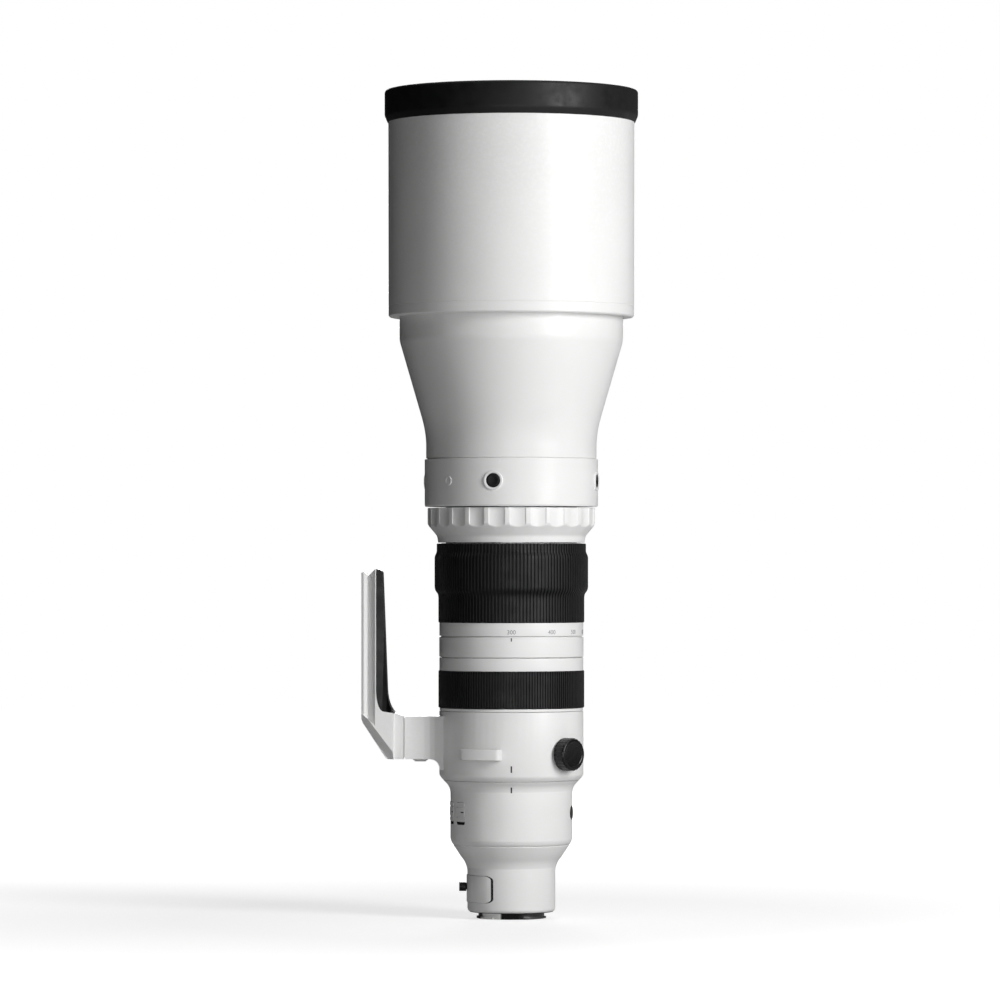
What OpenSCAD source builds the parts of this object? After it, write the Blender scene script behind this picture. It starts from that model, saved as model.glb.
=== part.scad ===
// Long zoom lens: the optical axis is Z, the front points up, and the origin is the centre of
// the camera mount's flange face. The tripod foot points to -X. Angles around the axis are
// measured from -Y towards +X. All sizes are in millimetres.

/* [Rear casing and mount] */
// Outer radius of the rear barrel
rear_r = 32.85; // [32.2:0.05:34]
// Height of the rear barrel's straight part above the flange
rear_straight_h = 30.1; // [28.5:0.1:32]
// Height of the seam between rear casing and body casing
rear_seam_z = 50; // [48:0.5:51]
// Wall of the casings
wall = 3; // [2.4:0.1:3.4]
// Radius of the bayonet's spigot
spigot_r = 24.6; // [24:0.1:25]
// Radius over the bayonet's three tabs
tab_r = 26; // [25.6:0.1:26.2]
// Depth of the bayonet behind the flange face
spigot_h = 4.8; // [4.6:0.1:7]
// Thickness of each bayonet tab
tab_h = 1.5; // [1.2:0.1:1.8]
// Inner radius of the bayonet ring
throat_r = 22; // [21:0.1:22.8]
// Thickness of the mount plate
mount_plate_h = 2.4; // [2:0.1:3]
// Number of screws that hold the mount plate
mount_screw_n = 6; // [4:1:6]

/* [Drop-in filter] */
// Height of the filter door above the flange
filter_z = 7.6; // [5:0.1:8]
// Height of the filter door along the axis
filter_door_h = 19.9; // [19:0.1:20.5]
// Half angle that the door covers round the barrel
filter_half_angle = 65; // [60:0.5:66]
// Radius of the filter glass
filter_glass_r = 19; // [17:0.1:19.5]
// How far the filter door stands proud of the barrel
filter_door_proud = 0.6; // [0.4:0.1:0.9]
// Length of the door's lock knob
filter_knob_h = 5.5; // [4:0.1:7]

/* [Body casing] */
// Outer radius of the body casing
body_r = 45.6; // [45:0.05:46.5]
// Height of the seam between body casing and tripod collar
body_top_z = 98.2; // [97:0.1:99]
// Length of a slide switch's slot
switch_slot_h = 16.8; // [15:0.1:18]
// Width of a slide switch's slot
switch_slot_w = 10.5; // [9:0.1:11]
// Length of a slide switch's cap
switch_cap_h = 14.3; // [13:0.1:15]
// Height of the slide switches' centre
switch_z = 74.1; // [71:0.1:75]
// Angle between neighbouring slide switches
switch_step = 21; // [19:0.5:24]
// Angle of the first slide switch
switch_first_angle = -56; // [-60:1:-54]
// Number of slide switches
switch_n = 4; // [3:1:4]
// Radius of every round press button
button_r = 5.2; // [4.6:0.1:5.6]
// Travel of every round press button
button_travel = 0.8; // [0.5:0.1:1]

/* [Tripod collar and foot] */
// Outer radius of the tripod collar
collar_r = 53.84; // [53.2:0.02:54.6]
// Height of the collar along the axis
collar_h = 51.4; // [50:0.1:56]
// Height of the arm's lower edge above the collar's seat
arm_rise = 16; // [14:0.1:17]
// Height of the arm along the axis
arm_h = 32; // [30:0.1:33]
// Width of the arm and the foot
arm_w = 30; // [26:0.5:34]
// Distance from the axis to the joint face of arm and foot
arm_reach = 80.4; // [78:0.1:84]
// Distance from the arm's joint face to the foot's outer face
foot_d = 31.3; // [30:0.1:33]
// Thickness of the foot's plate
foot_plate_t = 11; // [10:0.1:12]
// Length of the foot along the axis
foot_h = 141.6; // [130:0.1:144]
// Width of the foot's body
foot_w = 42.2; // [41:0.1:44]
// Width of the foot's dovetail
dovetail_w = 38; // [37.5:0.1:38.5]
// Depth of the dovetail's V groove
groove_d = 3.1; // [2.5:0.1:4]
// Radius of the collar's lock knob
knob_r = 12.15; // [11:0.05:13]
// Angle of the collar's lock knob
knob_angle = 46.5; // [44:0.5:52]
// Radius at which the lock knob's face lies
knob_face_r = 64; // [61:0.5:68]
// Length of a strap lug across the collar
lug_w = 34; // [30:0.5:38]
// Height of a strap lug along the axis
lug_h = 8.3; // [7:0.1:10]

/* [Rings] */
// Outer radius of the main tube that carries the rings
tube_r = 49; // [48.6:0.02:49.3]
// Wall of the main tube
tube_wall = 3; // [2.6:0.1:3]
// Radius of the white sleeves of the focus and zoom rings
sleeve_r = 53.8; // [53.4:0.02:54.2]
// Height of the focus ring's rubber
focus_grip_h = 27.7; // [24:0.1:30]
// Height of the focus ring
focus_h = 37.3; // [34:0.1:40]
// Height of the index ring between focus and zoom ring
index_h = 15.7; // [14:0.1:18]
// Outer radius of the focus rubber's ribs
focus_grip_r = 54.5; // [54:0.05:55]
// Number of ribs on the focus rubber
focus_rib_n = 160; // [120:1:180]
// Height of the zoom ring's bare band with the scale
scale_h = 9.9; // [8:0.1:11]
// Height of the zoom ring
zoom_h = 69.1; // [68:0.1:74]
// Outer radius of the zoom rubber's rear part
zoom_grip_r = 54.55; // [54.2:0.05:55]
// Outer radius of the zoom rubber's raised part
zoom_grip_high_r = 57.4; // [56.5:0.1:58.5]
// Outer radius of the zoom rubber's front end
zoom_grip_front_r = 55.8; // [55.2:0.1:56.4]
// Number of ribs on the zoom rubber
zoom_rib_n = 130; // [100:1:150]
// Depth of the rubber ribs
rib_d = 0.6; // [0.4:0.05:0.8]
// Thickness of both rubber grips at their thinnest
rubber_t = 2; // [1.6:0.1:2.4]
// Turn of the zoom ring, in degrees
zoom_turn = 80.4; // [70:0.1:85]

/* [Function ring and control band] */
// Outer radius of the function ring
function_r = 62.6; // [61.5:0.1:63.5]
// Height of the function ring
function_h = 25.8; // [24:0.1:28]
// Number of scallops round the function ring
scallop_n = 25; // [20:1:26]
// Depth of each scallop
scallop_d = 1.6; // [1:0.1:1.8]
// Outer radius of the control band
band_r = 64.8; // [64.2:0.1:65.6]
// Height of the control band
band_h = 35.4; // [34:0.1:37]

/* [Front barrel and hood] */
// Step in from the control band to the front barrel's narrow end
bell_step = 1.1; // [0.6:0.1:1.8]
// Radius of the front barrel's wide end
front_r = 83.55; // [82:0.05:85]
// Height of the bell shape
bell_h = 88.6; // [84:0.1:94]
// Height of the straight front end, over the bell
front_h = 41; // [40:0.1:44]
// Reach of the hood's rear end past the front barrel's wide end
hood_step = 8.2; // [7.5:0.05:10]
// Widening of the hood towards its front end
hood_taper = 0.25; // [0:0.05:1.5]
// Wall of the hood
hood_wall = 2.6; // [2:0.1:3]
// Length of the hood
hood_h = 169.5; // [140:0.1:180]
// Height of the hood's rubber bumper
bumper_h = 23.9; // [20:0.1:28]
// Thickness of the rubber bumper round the hood
bumper_step = 2.75; // [2:0.05:4]
// Radius of the hood screw's knob
hood_knob_r = 9; // [7:0.1:11]

/* [Optics] */
// Free radius of the open iris
iris_r = 21; // [18:0.5:23]
// Number of iris blades
blade_n = 11; // [9:1:11]
// Shift of the stabiliser's lens to each side
stabiliser_travel = 1; // [0.5:0.1:1.4]
// Travel of the focus carrier to each side
focus_group_travel = 6; // [3:0.5:7]
// Forward travel of the first zoom carrier
zoom_a_travel = 38; // [20:0.5:40]
// Rearward travel of the second zoom carrier
zoom_b_travel = 18; // [10:0.5:20]

/* [Clearances] */
// Radial running clearance of rings on the main tube
running = 0.1; // [0.05:0.01:0.1]
// Gap between pieces that move past each other
gap = 0.3; // [0.2:0.05:0.4]

/* [Hidden] */
$fn = 128;
bell_r = band_r - bell_step;
hood_r = front_r + hood_step;
hood_front_r = hood_r + hood_taper;
bumper_r = hood_front_r + bumper_step;
white = [0.86, 0.86, 0.85];
rubber = [0.05, 0.05, 0.05];
black = [0.1, 0.1, 0.11];
steel = [0.72, 0.73, 0.75];
alloy = [0.35, 0.36, 0.38];
brass = [0.8, 0.66, 0.36];
glass = [0.55, 0.7, 0.72, 0.5];

// Number of facets on small round pieces, where a finer circle would not show
small = 48;
// Overrun of a cutter past the face that it opens
over = 1;

// Heights of the pieces along the axis, stacked from the flange
collar_top_z = body_top_z + gap + collar_h;
thin_ring_z = collar_top_z + gap;
thin_ring_h = 2;
focus_z = thin_ring_z + thin_ring_h + gap;
focus_grip_top_z = focus_z + focus_grip_h;
focus_top_z = focus_z + focus_h;
zoom_z = focus_top_z + index_h + 2 * gap;
zoom_grip_z = zoom_z + scale_h;
zoom_top_z = zoom_z + zoom_h;
function_z = zoom_top_z + 0.5;
function_top_z = function_z + function_h;
band_z = function_top_z + 0.9;
band_top_z = band_z + band_h;
bell_top_z = band_top_z + bell_h;
front_z = bell_top_z + front_h;
hood_z = front_z - 23.4;
hood_top_z = hood_z + hood_h;
bumper_z = hood_top_z - bumper_h;
arm_z = body_top_z + arm_rise;
foot_top_z = arm_z + foot_h;
foot_reach = arm_reach + foot_d;
focus_group_z = rear_seam_z + 18;
iris_z = body_top_z + 9.8;
stabiliser_z = body_top_z + 27.8;
zoom_group_a_z = zoom_z - 30.1;
zoom_group_b_z = zoom_z + 55.9;

// Rear casing
rear_in_r = rear_r - wall;
rear_skirt_z = 0.3;
rear_floor_z = mount_plate_h + 2.8;
mount_plate_r = 30.5;
seal_r = 31.2;
seal_z = -0.1;
mount_screw_circle = 28.3;
mount_screw_r = 0.95;
mount_screw_head_r = 1.6;
mount_screw_head_h = 0.9;
mount_screw_l = 4.6;
tab_angle = 66;
tab_first_angle = -66;
contact_half_w = 9;
contact_y = 17.4;
contact_z = -4.6;
contact_h = 9;
contact_n = 10;
filter_half_w = rear_r * sin(filter_half_angle);
filter_gap = 0.35;
filter_door_r = 3;
filter_body_r = rear_in_r - 1.25;
filter_body_z = filter_z + 4.4;
filter_body_h = 9;
filter_seat_d = 4;
filter_lip = 1.5;
filter_knob_z = filter_z + 11.1;
filter_knob_w = 6.8;
filter_knob_l = 14;
filter_knob_shaft_r = 2.4;
rear_cell_z = filter_z + filter_door_h + 0.5;
rear_cell_h = 20;
rear_lens_r = 21.5;

// Body casing
seam_r = body_r - 2.7;
seam_v = 0.35;
body_in_r = body_r - wall;
body_flare_r = 50.7;
tube_in_r = tube_r - tube_wall;
switch_cap_w = switch_slot_w - 2 * gap;
switch_travel = switch_slot_h - switch_cap_h - 2 * gap;
switch_cap_top = 0.15;
button_gap = 0.1;
custom_button_angle = 80;
afl_first_angle = -12;
afl_n = 4;
afl_z = band_z + 18.9;
afl_rim_r = button_r + 2;
afl_rim_h = 0.8;
plug_angle = -46;
plug_r = 3.4;

// Focus unit
focus_plate_z = rear_seam_z + 6.5;
focus_plate_t = 2;
focus_carrier_h = 14;
focus_front_z = focus_group_z + focus_carrier_h + focus_group_travel + 2;
focus_rod_r = 1.5;
focus_rod_circle = 33;
focus_carrier_r = 29.5;
focus_lens_r = 24;
focus_coil_r = 34.5;

// Main board, iris and stabiliser
board_z = body_top_z + 2.8;
iris_h = 13;
blade_t = 0.25;
blade_pitch = 0.5;
stabiliser_h = 18;
stabiliser_lens_r = 25;
stabiliser_slide_r = tube_in_r - 3 - 3 * stabiliser_travel;
stabiliser_holder_r = 33;

// Rings on the main tube
focus_sleeve_r = focus_grip_r - rib_d - rubber_t + 0.4;
zoom_sleeve_r = zoom_grip_r - rib_d - rubber_t + 0.4;

// Cam tube, guide tube and zoom carriers, each inside the one before
cam_r = tube_in_r - running;
guide_r = cam_r - 2 - running;
cam_z = zoom_z - 40.1;
cam_top_z = zoom_top_z + 14.8;
cam_key_z = zoom_z + 15.9;
cam_key_h = 6;
cam_key_angle = 8;
roller_r = 2;
roller_a_z = 10;
roller_b_z = 7;
zoom_lens_a_r = 34;
zoom_lens_b_r = 36;

// Front cell and hood
cell_r = front_r - wall;
front_lens_r = cell_r - 5;
cell_z = bell_top_z + 3.6;
cell_h = 31;
hood_seat_r = front_r + gap;
hood_seat_wall = 2;
hood_seam_z = hood_z + 8.3;
hood_web_h = 3;
hood_stop_z = front_z + gap;
hood_screw_r = 3;
hood_boss_r = hood_knob_r + 1;
hood_screw_z = hood_seam_z + hood_boss_r + 0.8;
hood_boss_face = hood_r + 1.6;
bumper_t = 2.4;

// Tripod collar and foot
arm_top_z = arm_z + arm_h;
arm_mid_z = arm_z + arm_h / 2;
foot_inner = foot_reach - foot_plate_t;
groove_body_step = (foot_w - dovetail_w) / 2;
dovetail_edge = 1.1;
foot_screw_r = 2.5;
foot_screw_y = 8;
foot_screw_z = 8.5;
pad_t_top = 4.8;
pad_t_low = 8.6;
knob_z = body_top_z + 20.4;
knob_shaft_r = 4;
lug_r = 61;
lug_t = 2.7;
lug_angle = -24;
neck_h = 0.9;
neck_d = 1.2;
neck_x = neck_h - arm_reach;
arm_plug_x = -68;
lug_z = body_top_z + 16.2;
foot_thread_z = arm_z + 85.8;
foot_thread_step = 24;
thread_large_depth = 8.5;
thread_small_depth = 7;
// Wall radius of a 3/8 inch and of a 1/4 inch tripod thread
thread_large_r = 3.97;
thread_small_r = 2.55;

// Outline of the rear casing's outside, from the back to the seam
rear_outline = concat(
    [[rear_r - 1.4, rear_skirt_z], [rear_r - 0.4, 1.3], [rear_r, 2.7], [rear_r, rear_straight_h]],
    bend([rear_r, rear_straight_h], [rear_r + 0.3, 36], [37.5, 40.9]),
    [[seam_r + seam_v, rear_seam_z - seam_v], [seam_r, rear_seam_z]]
);
// Outline of the body casing's outside, from the seam to the collar
body_outline = concat(
    [[seam_r, rear_seam_z], [seam_r + 2 * seam_v, rear_seam_z + seam_v]],
    bend([44.4, 51.6], [body_r, 53.8], [body_r, 56.2]),
    [[body_r, 89]],
    bend([body_r, 89], [body_r + 0.4, 93.5], [48.6, body_top_z - 2.2]),
    [[body_flare_r, body_top_z]]
);

// Points of a smooth bend from a to c that heads for b, without a itself
function bend(a, b, c, n = 6) =
    [for (i = [1:n]) let (t = i / n) pow(1 - t, 2) * a + 2 * t * (1 - t) * b + pow(t, 2) * c];

// The same outline moved inwards by t and turned round
function inward(outline, t) =
    [for (i = [len(outline) - 1:-1:0]) outline[i] - [t, 0]];

// Solid of revolution from points of radius and height
module turned(points) {
    rotate_extrude() polygon(points);
}

// Shell of revolution with wall t inside an outline
module turned_shell(outline, t) {
    turned(concat(outline, inward(outline, t)));
}

// Plain tube between two heights
module tube(r_out, r_in, z0, z1) {
    rotate_extrude() translate([r_in, z0]) square([r_out - r_in, z1 - z0]);
}

// Part of a tube, of the given width in degrees about an angle
module tube_sector(r_out, r_in, z0, z1, angle, width) {
    rotate([0, 0, angle - width / 2 - 90])
        rotate_extrude(angle = width) translate([r_in, z0]) square([r_out - r_in, z1 - z0]);
}

// Puts its children on the side of the lens: their Z points away from the axis, their Y up
module at_side(angle, r, z) {
    rotate([0, 0, angle]) translate([0, -r, z]) rotate([90, 0, 0]) children();
}

// Flat outline with round corners, centred
module round_rect(w, h, r) {
    square([w - 2 * r, h], center = true);
    square([w, h - 2 * r], center = true);
    for (x = [-1, 1], y = [-1, 1])
        translate([x * (w / 2 - r), y * (h / 2 - r)]) circle(r, $fn = small);
}

// Lens element from z up: edge thickness t, faces that swell by back and front
module element(r, z, t, back, front) {
    color(glass) turned(concat(
        [[0, z - back]],
        bend([0, z - back], [r * 0.55, z - back], [r, z]),
        [[r, z + t]],
        bend([r, z + t], [r * 0.55, z + t + front], [0, z + t + front])
    ));
}

// Round press button on the side: a domed cap that stands proud of r, with a rim under the wall
module press_button(angle, r, z, proud, inner_r) {
    stem = r + proud - inner_r;
    at_side(angle, inner_r, z) rotate_extrude($fn = small) polygon(concat(
        [[0, -2.4], [button_r + 0.8, -2.4], [button_r + 0.8, -1.2], [button_r, -1.2]],
        [[button_r, stem - 0.7]],
        bend([button_r, stem - 0.7], [button_r - 0.2, stem], [button_r - 1.6, stem + 0.2]),
        [[0, stem + 0.4]]
    ));
}

module mount_screw_places() {
    for (i = [0:mount_screw_n - 1])
        rotate([0, 0, (i + 0.5) * 360 / mount_screw_n]) translate([0, -mount_screw_circle, 0])
            children();
}

module mount_plate() {
    color(steel) {
        difference() {
            tube(mount_plate_r, throat_r, 0, mount_plate_h);
            mount_screw_places() {
                translate([0, 0, -over])
                    cylinder(r = mount_screw_r + 0.05, h = mount_plate_h + 2 * over, $fn = small);
                translate([0, 0, -over])
                    cylinder(r = mount_screw_head_r + 0.1, h = mount_screw_head_h + over, $fn = small);
            }
        }
        tube(spigot_r, throat_r, -spigot_h, 0);
        for (i = [0:2])
            tube_sector(tab_r, spigot_r - 0.5, -spigot_h, tab_h - spigot_h,
                tab_first_angle + i * 120, tab_angle);
    }
}

module mount_screws() {
    color(steel) mount_screw_places() difference() {
        union() {
            cylinder(r = mount_screw_head_r, h = mount_screw_head_h, $fn = small);
            cylinder(r = mount_screw_r, h = mount_screw_l, $fn = small);
        }
        for (a = [0, 90])
            rotate([0, 0, a]) cube([1.8, 0.35, 0.9], center = true);
    }
}

module mount_seal() {
    color(rubber) tube(seal_r, mount_plate_r, seal_z, rear_skirt_z);
}

module contact_block() {
    contact_pads();
    color(black) difference() {
        intersection() {
            translate([0, 0, contact_z]) cylinder(r = throat_r, h = contact_h);
            translate([-contact_half_w, contact_y, contact_z])
                cube([2 * contact_half_w, throat_r, contact_h]);
        }
        contact_pad_places() translate([0, 0, -over]) cylinder(r = 0.6, h = 1.5, $fn = small);
    }
}

module contact_pad_places() {
    for (i = [0:contact_n - 1])
        translate([(i + 0.5 - contact_n / 2) * 1.65, contact_y + 1.5, contact_z]) children();
}

module contact_pads() {
    color(brass) contact_pad_places() cylinder(r = 0.6, h = 0.5, $fn = small);
}

// Block that the filter door and its holder fill, seen along X
module filter_window(grow) {
    translate([-2 * rear_r, 0, filter_z + filter_door_h / 2]) rotate([90, 0, 90])
        linear_extrude(2 * rear_r)
            round_rect(2 * (filter_half_w + grow), filter_door_h + 2 * grow, filter_door_r);
}

module rear_casing() {
    color(white) difference() {
        turned(concat(
            rear_outline,
            [for (p = inward(rear_outline, wall)) if (p[1] > rear_floor_z) p],
            [[rear_in_r, rear_floor_z], [throat_r + 2.5, rear_floor_z],
             [throat_r + 2.5, mount_plate_h], [mount_plate_r, mount_plate_h],
             [mount_plate_r, rear_skirt_z]]
        ));
        filter_window(filter_gap);
        mount_screw_places() translate([0, 0, over])
            cylinder(r = mount_screw_r + 0.05, h = mount_screw_l, $fn = small);
    }
}

module filter_holder() {
    color(white) difference() {
        intersection() {
            union() {
                tube(rear_r + filter_door_proud, filter_body_r, filter_z, filter_z + filter_door_h);
                tube(filter_body_r + 0.1, filter_glass_r - filter_lip,
                    filter_body_z, filter_body_z + filter_body_h);
            }
            union() {
                filter_window(0);
                translate([0, 0, filter_body_z])
                    cylinder(r = filter_body_r, h = filter_body_h);
            }
        }
        translate([0, 0, filter_body_z + filter_body_h - filter_seat_d])
            cylinder(r = filter_glass_r + 0.1, h = filter_seat_d + over);
        at_side(-90, rear_in_r - 4, filter_knob_z)
            cylinder(r = filter_knob_shaft_r + 0.05, h = 12, $fn = small);
    }
}

module filter_glass() {
    seat_z = filter_body_z + filter_body_h - filter_seat_d;
    color(glass) translate([0, 0, seat_z]) cylinder(r = filter_glass_r, h = 2.2);
}

module filter_lock_knob() {
    face_r = rear_r + filter_door_proud;
    color(rubber) at_side(-90, face_r, filter_knob_z) {
        translate([0, 0, -4.6]) cylinder(r = filter_knob_shaft_r, h = 4.6 + gap, $fn = small);
        translate([0, 0, gap]) linear_extrude(filter_knob_h - gap)
            round_rect(filter_knob_l, filter_knob_w, filter_knob_w / 2 - 0.01);
    }
}

module rear_cell() {
    color(black) turned([
        [rear_in_r, rear_cell_z], [rear_in_r, rear_cell_z + 2.5], [rear_lens_r + 2.5, rear_cell_z + 4],
        [rear_lens_r + 2.5, rear_cell_z + rear_cell_h], [rear_lens_r, rear_cell_z + rear_cell_h],
        [rear_lens_r, rear_cell_z]
    ]);
}

module rear_elements() {
    element(rear_lens_r, rear_cell_z + 3, 3, 1.2, -1.4);
    element(rear_lens_r, rear_cell_z + 9, 2, -1, 2);
    element(rear_lens_r, rear_cell_z + 15, 2.5, 1.5, 1);
}

// Flat slot or cap of a slide switch, pushed out along the radius
module switch_shape(w, h, r0, r1, angle, z) {
    at_side(angle, r0, z) linear_extrude(r1 - r0) round_rect(w, h, 1.6);
}

module body_casing() {
    flange_z = body_top_z - 3.6;
    color(white) difference() {
        turned(concat(
            body_outline,
            [[tube_in_r - 1, body_top_z], [tube_in_r - 1, flange_z]],
            [for (p = inward(body_outline, wall)) if (p[1] < flange_z) p]
        ));
        for (i = [0:switch_n - 1])
            switch_shape(switch_slot_w, switch_slot_h, body_in_r - 2, body_r + over,
                switch_first_angle - i * switch_step, switch_z);
        at_side(custom_button_angle, body_in_r - 2, switch_z)
            cylinder(r = button_r + button_gap, h = wall + 4, $fn = small);
    }
}

module switch_bases() {
    base_r = body_in_r - 0.6;
    color(black) for (i = [0:switch_n - 1])
        at_side(switch_first_angle - i * switch_step, base_r - 3, switch_z)
            linear_extrude(3) square([switch_slot_w + 2.5, switch_slot_h + 2.5], center = true);
}

module switch_slider(i) {
    top_r = body_r + switch_cap_top;
    angle = switch_first_angle - i * switch_step;
    z = switch_z + switch_travel / 2;
    color(white) difference() {
        switch_shape(switch_cap_w, switch_cap_h, body_in_r - gap, top_r, angle, z);
        for (s = [-1, 1])
            at_side(angle, top_r, z + s * switch_cap_h * 0.27)
                rotate([0, 90, 0]) cylinder(r = 0.6, h = switch_cap_w + 2, center = true, $fn = small);
    }
}

module custom_button() {
    color(rubber) press_button(custom_button_angle, body_r, switch_z, button_travel - 0.3, body_in_r);
}

module main_tube() {
    key_slot = zoom_turn + cam_key_angle + 2;
    color(alloy) difference() {
        tube(tube_r, tube_in_r, body_top_z, band_z);
        tube_sector(tube_r + over, tube_in_r - over, cam_key_z - gap, cam_key_z + cam_key_h + gap,
            180 - zoom_turn / 2, key_slot);
    }
}

module circuit_boards() {
    switch_bases();
    color([0.1, 0.3, 0.16]) difference() {
        tube(tube_in_r, 29, board_z, board_z + 1.6);
        for (i = [0:2])
            rotate([0, 0, i * 120]) translate([-38, 0, board_z - over]) cylinder(r = 1.2, h = 4, $fn = small);
    }
    color(black) for (i = [0:5])
        rotate([0, 0, 30 + i * 60]) translate([37, 0, board_z + 2.3]) cube([9, 9, 1.4], center = true);
}

module thin_ring() {
    color(white) tube(collar_r - 0.3, tube_r, thin_ring_z, thin_ring_z + thin_ring_h);
}

module index_ring() {
    color(white) turned([
        [tube_r, focus_top_z + gap], [sleeve_r, focus_top_z + gap],
        [sleeve_r + 0.1, focus_top_z + gap + 0.3], [sleeve_r + 0.1, zoom_z - gap - 0.9],
        [sleeve_r - 0.5, zoom_z - gap - 0.6], [sleeve_r - 0.5, zoom_z - gap], [tube_r, zoom_z - gap]
    ]);
}

// Flat outline of a ribbed grip: n ribs of depth d that reach radius r
function rib_points(r, n, d) = [
    for (i = [0:n - 1], k = [[0, d], [0.36, d], [0.44, 0], [0.92, 0]])
        let (a = (i + k[0]) * 360 / n) (r - k[1]) * [cos(a), sin(a)]
];

// Ribbed sleeve between two heights
module ribbed(r, r_in, n, z0, z1) {
    translate([0, 0, z0]) linear_extrude(z1 - z0) difference() {
        polygon(rib_points(r, n, rib_d));
        circle(r = r_in);
    }
}

module focus_ring() {
    color(white) turned([
        [tube_r + running, focus_z], [focus_sleeve_r, focus_z], [focus_sleeve_r, focus_grip_top_z],
        [sleeve_r, focus_grip_top_z], [sleeve_r, focus_top_z], [tube_r + running, focus_top_z]
    ]);
}

module focus_grip() {
    color(rubber) ribbed(focus_grip_r, focus_sleeve_r, focus_rib_n, focus_z, focus_grip_top_z);
}

module zoom_ring() {
    color(white) turned([
        [tube_r + running, zoom_z], [sleeve_r, zoom_z], [sleeve_r, zoom_grip_z],
        [zoom_sleeve_r, zoom_grip_z], [zoom_sleeve_r, zoom_top_z], [tube_r + running, zoom_top_z]
    ]);
}

module zoom_grip() {
    top = zoom_top_z - 0.3;
    rise = zoom_grip_z + 18;
    high = zoom_grip_z + 27.2;
    fall = high + 20.9;
    front = fall + 5.2;
    color(rubber) {
        ribbed(zoom_grip_r, zoom_sleeve_r, zoom_rib_n, zoom_grip_z, rise);
        turned(concat(
            [[zoom_sleeve_r, rise], [zoom_grip_r - rib_d, rise]],
            bend([zoom_grip_r - rib_d, rise], [zoom_grip_r, rise + 3.5],
                [(zoom_grip_r + zoom_grip_high_r) / 2 - rib_d, (rise + high) / 2], 4),
            bend([(zoom_grip_r + zoom_grip_high_r) / 2 - rib_d, (rise + high) / 2],
                [zoom_grip_high_r - rib_d, high - 3], [zoom_grip_high_r - rib_d, high], 4),
            [[zoom_sleeve_r, high]]
        ));
        ribbed(zoom_grip_high_r, zoom_sleeve_r, zoom_rib_n, high, fall);
        turned([
            [zoom_sleeve_r, fall], [zoom_grip_high_r - rib_d, fall],
            [zoom_grip_front_r - rib_d, front], [zoom_sleeve_r, front]
        ]);
        ribbed(zoom_grip_front_r, zoom_sleeve_r, zoom_rib_n, front, top);
    }
}

// Radial cuts along a helical path on a tube: from an angle and height, over a turn and a rise
module helical_slot(angle, z, turn, rise, half_w, n = 7) {
    step = turn / n;
    arc = cam_r * step * PI / 180;
    for (i = [0:n - 1])
        at_side(angle + (i + 0.5) * step, guide_r - 1, z + (i + 0.5) * rise / n)
            rotate([0, 0, atan2(rise / n, arc)]) translate([0, 0, 3.5])
                cube([sqrt(arc * arc + pow(rise / n, 2)) + 1.2, 2 * half_w, 7], center = true);
    for (t = [0, 1])
        at_side(angle + t * turn, guide_r - 1, z + t * rise)
            cylinder(r = half_w, h = 7, $fn = small);
}

module cam_tube() {
    slot_w = roller_r + gap;
    color(alloy) difference() {
        union() {
            tube(cam_r, cam_r - 2, cam_z, cam_top_z);
            tube_sector(tube_r + running, cam_r - 1, cam_key_z, cam_key_z + cam_key_h, 180, cam_key_angle);
        }
        for (i = [0:2]) {
            helical_slot(i * 120, zoom_group_a_z + roller_a_z, zoom_turn, zoom_a_travel, slot_w);
            helical_slot(60 + i * 120, zoom_group_b_z + roller_b_z, zoom_turn, -zoom_b_travel, slot_w);
        }
    }
}

module guide_tube() {
    color(alloy) difference() {
        union() {
            tube(guide_r, guide_r - 2, cam_z - gap - 3, cam_top_z + gap);
            tube(tube_in_r, guide_r - 2, cam_z - gap - 3, cam_z - gap);
        }
        for (i = [0:2]) {
            straight_slot(i * 120, zoom_group_a_z + roller_a_z, zoom_a_travel);
            straight_slot(60 + i * 120, zoom_group_b_z + roller_b_z - zoom_b_travel, zoom_b_travel);
        }
    }
}

// Axial slot in the guide tube for one roller
module straight_slot(angle, z, travel) {
    at_side(angle, guide_r - 4, z + travel / 2) translate([0, 0, 3])
        cube([2 * (roller_r + 0.1), travel, 6], center = true);
    for (s = [0, travel])
        at_side(angle, guide_r - 4, z + s) cylinder(r = roller_r + 0.1, h = 6, $fn = small);
}

// Cylindrical lens carrier with three rollers that reach through the guide into the cam
module zoom_carrier(z, h, lens_r, roller_z, first_angle) {
    color(black) {
        tube(guide_r - 2 - running, guide_r - 5, z, z + h);
        tube(guide_r - 4.5, lens_r, z + h / 2 - 4, z + h / 2 + 4);
    }
    color(steel) for (i = [0:2])
        at_side(first_angle + i * 120, guide_r - 4, z + roller_z)
            cylinder(r = roller_r, h = cam_r - guide_r + 4 - 0.2, $fn = small);
}

module zoom_carrier_a() {
    zoom_carrier(zoom_group_a_z, 20, zoom_lens_a_r, roller_a_z, 0);
}

module zoom_carrier_b() {
    zoom_carrier(zoom_group_b_z, 14, zoom_lens_b_r, roller_b_z, 60);
}

module zoom_lens_a() {
    element(zoom_lens_a_r, zoom_group_a_z + 6.5, 2.5, 2, -1.6);
    element(zoom_lens_a_r, zoom_group_a_z + 11, 2.5, -1, 2.5);
}

module zoom_lens_b() {
    element(zoom_lens_b_r, zoom_group_b_z + 5, 4, 2.2, 2.6);
}

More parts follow.
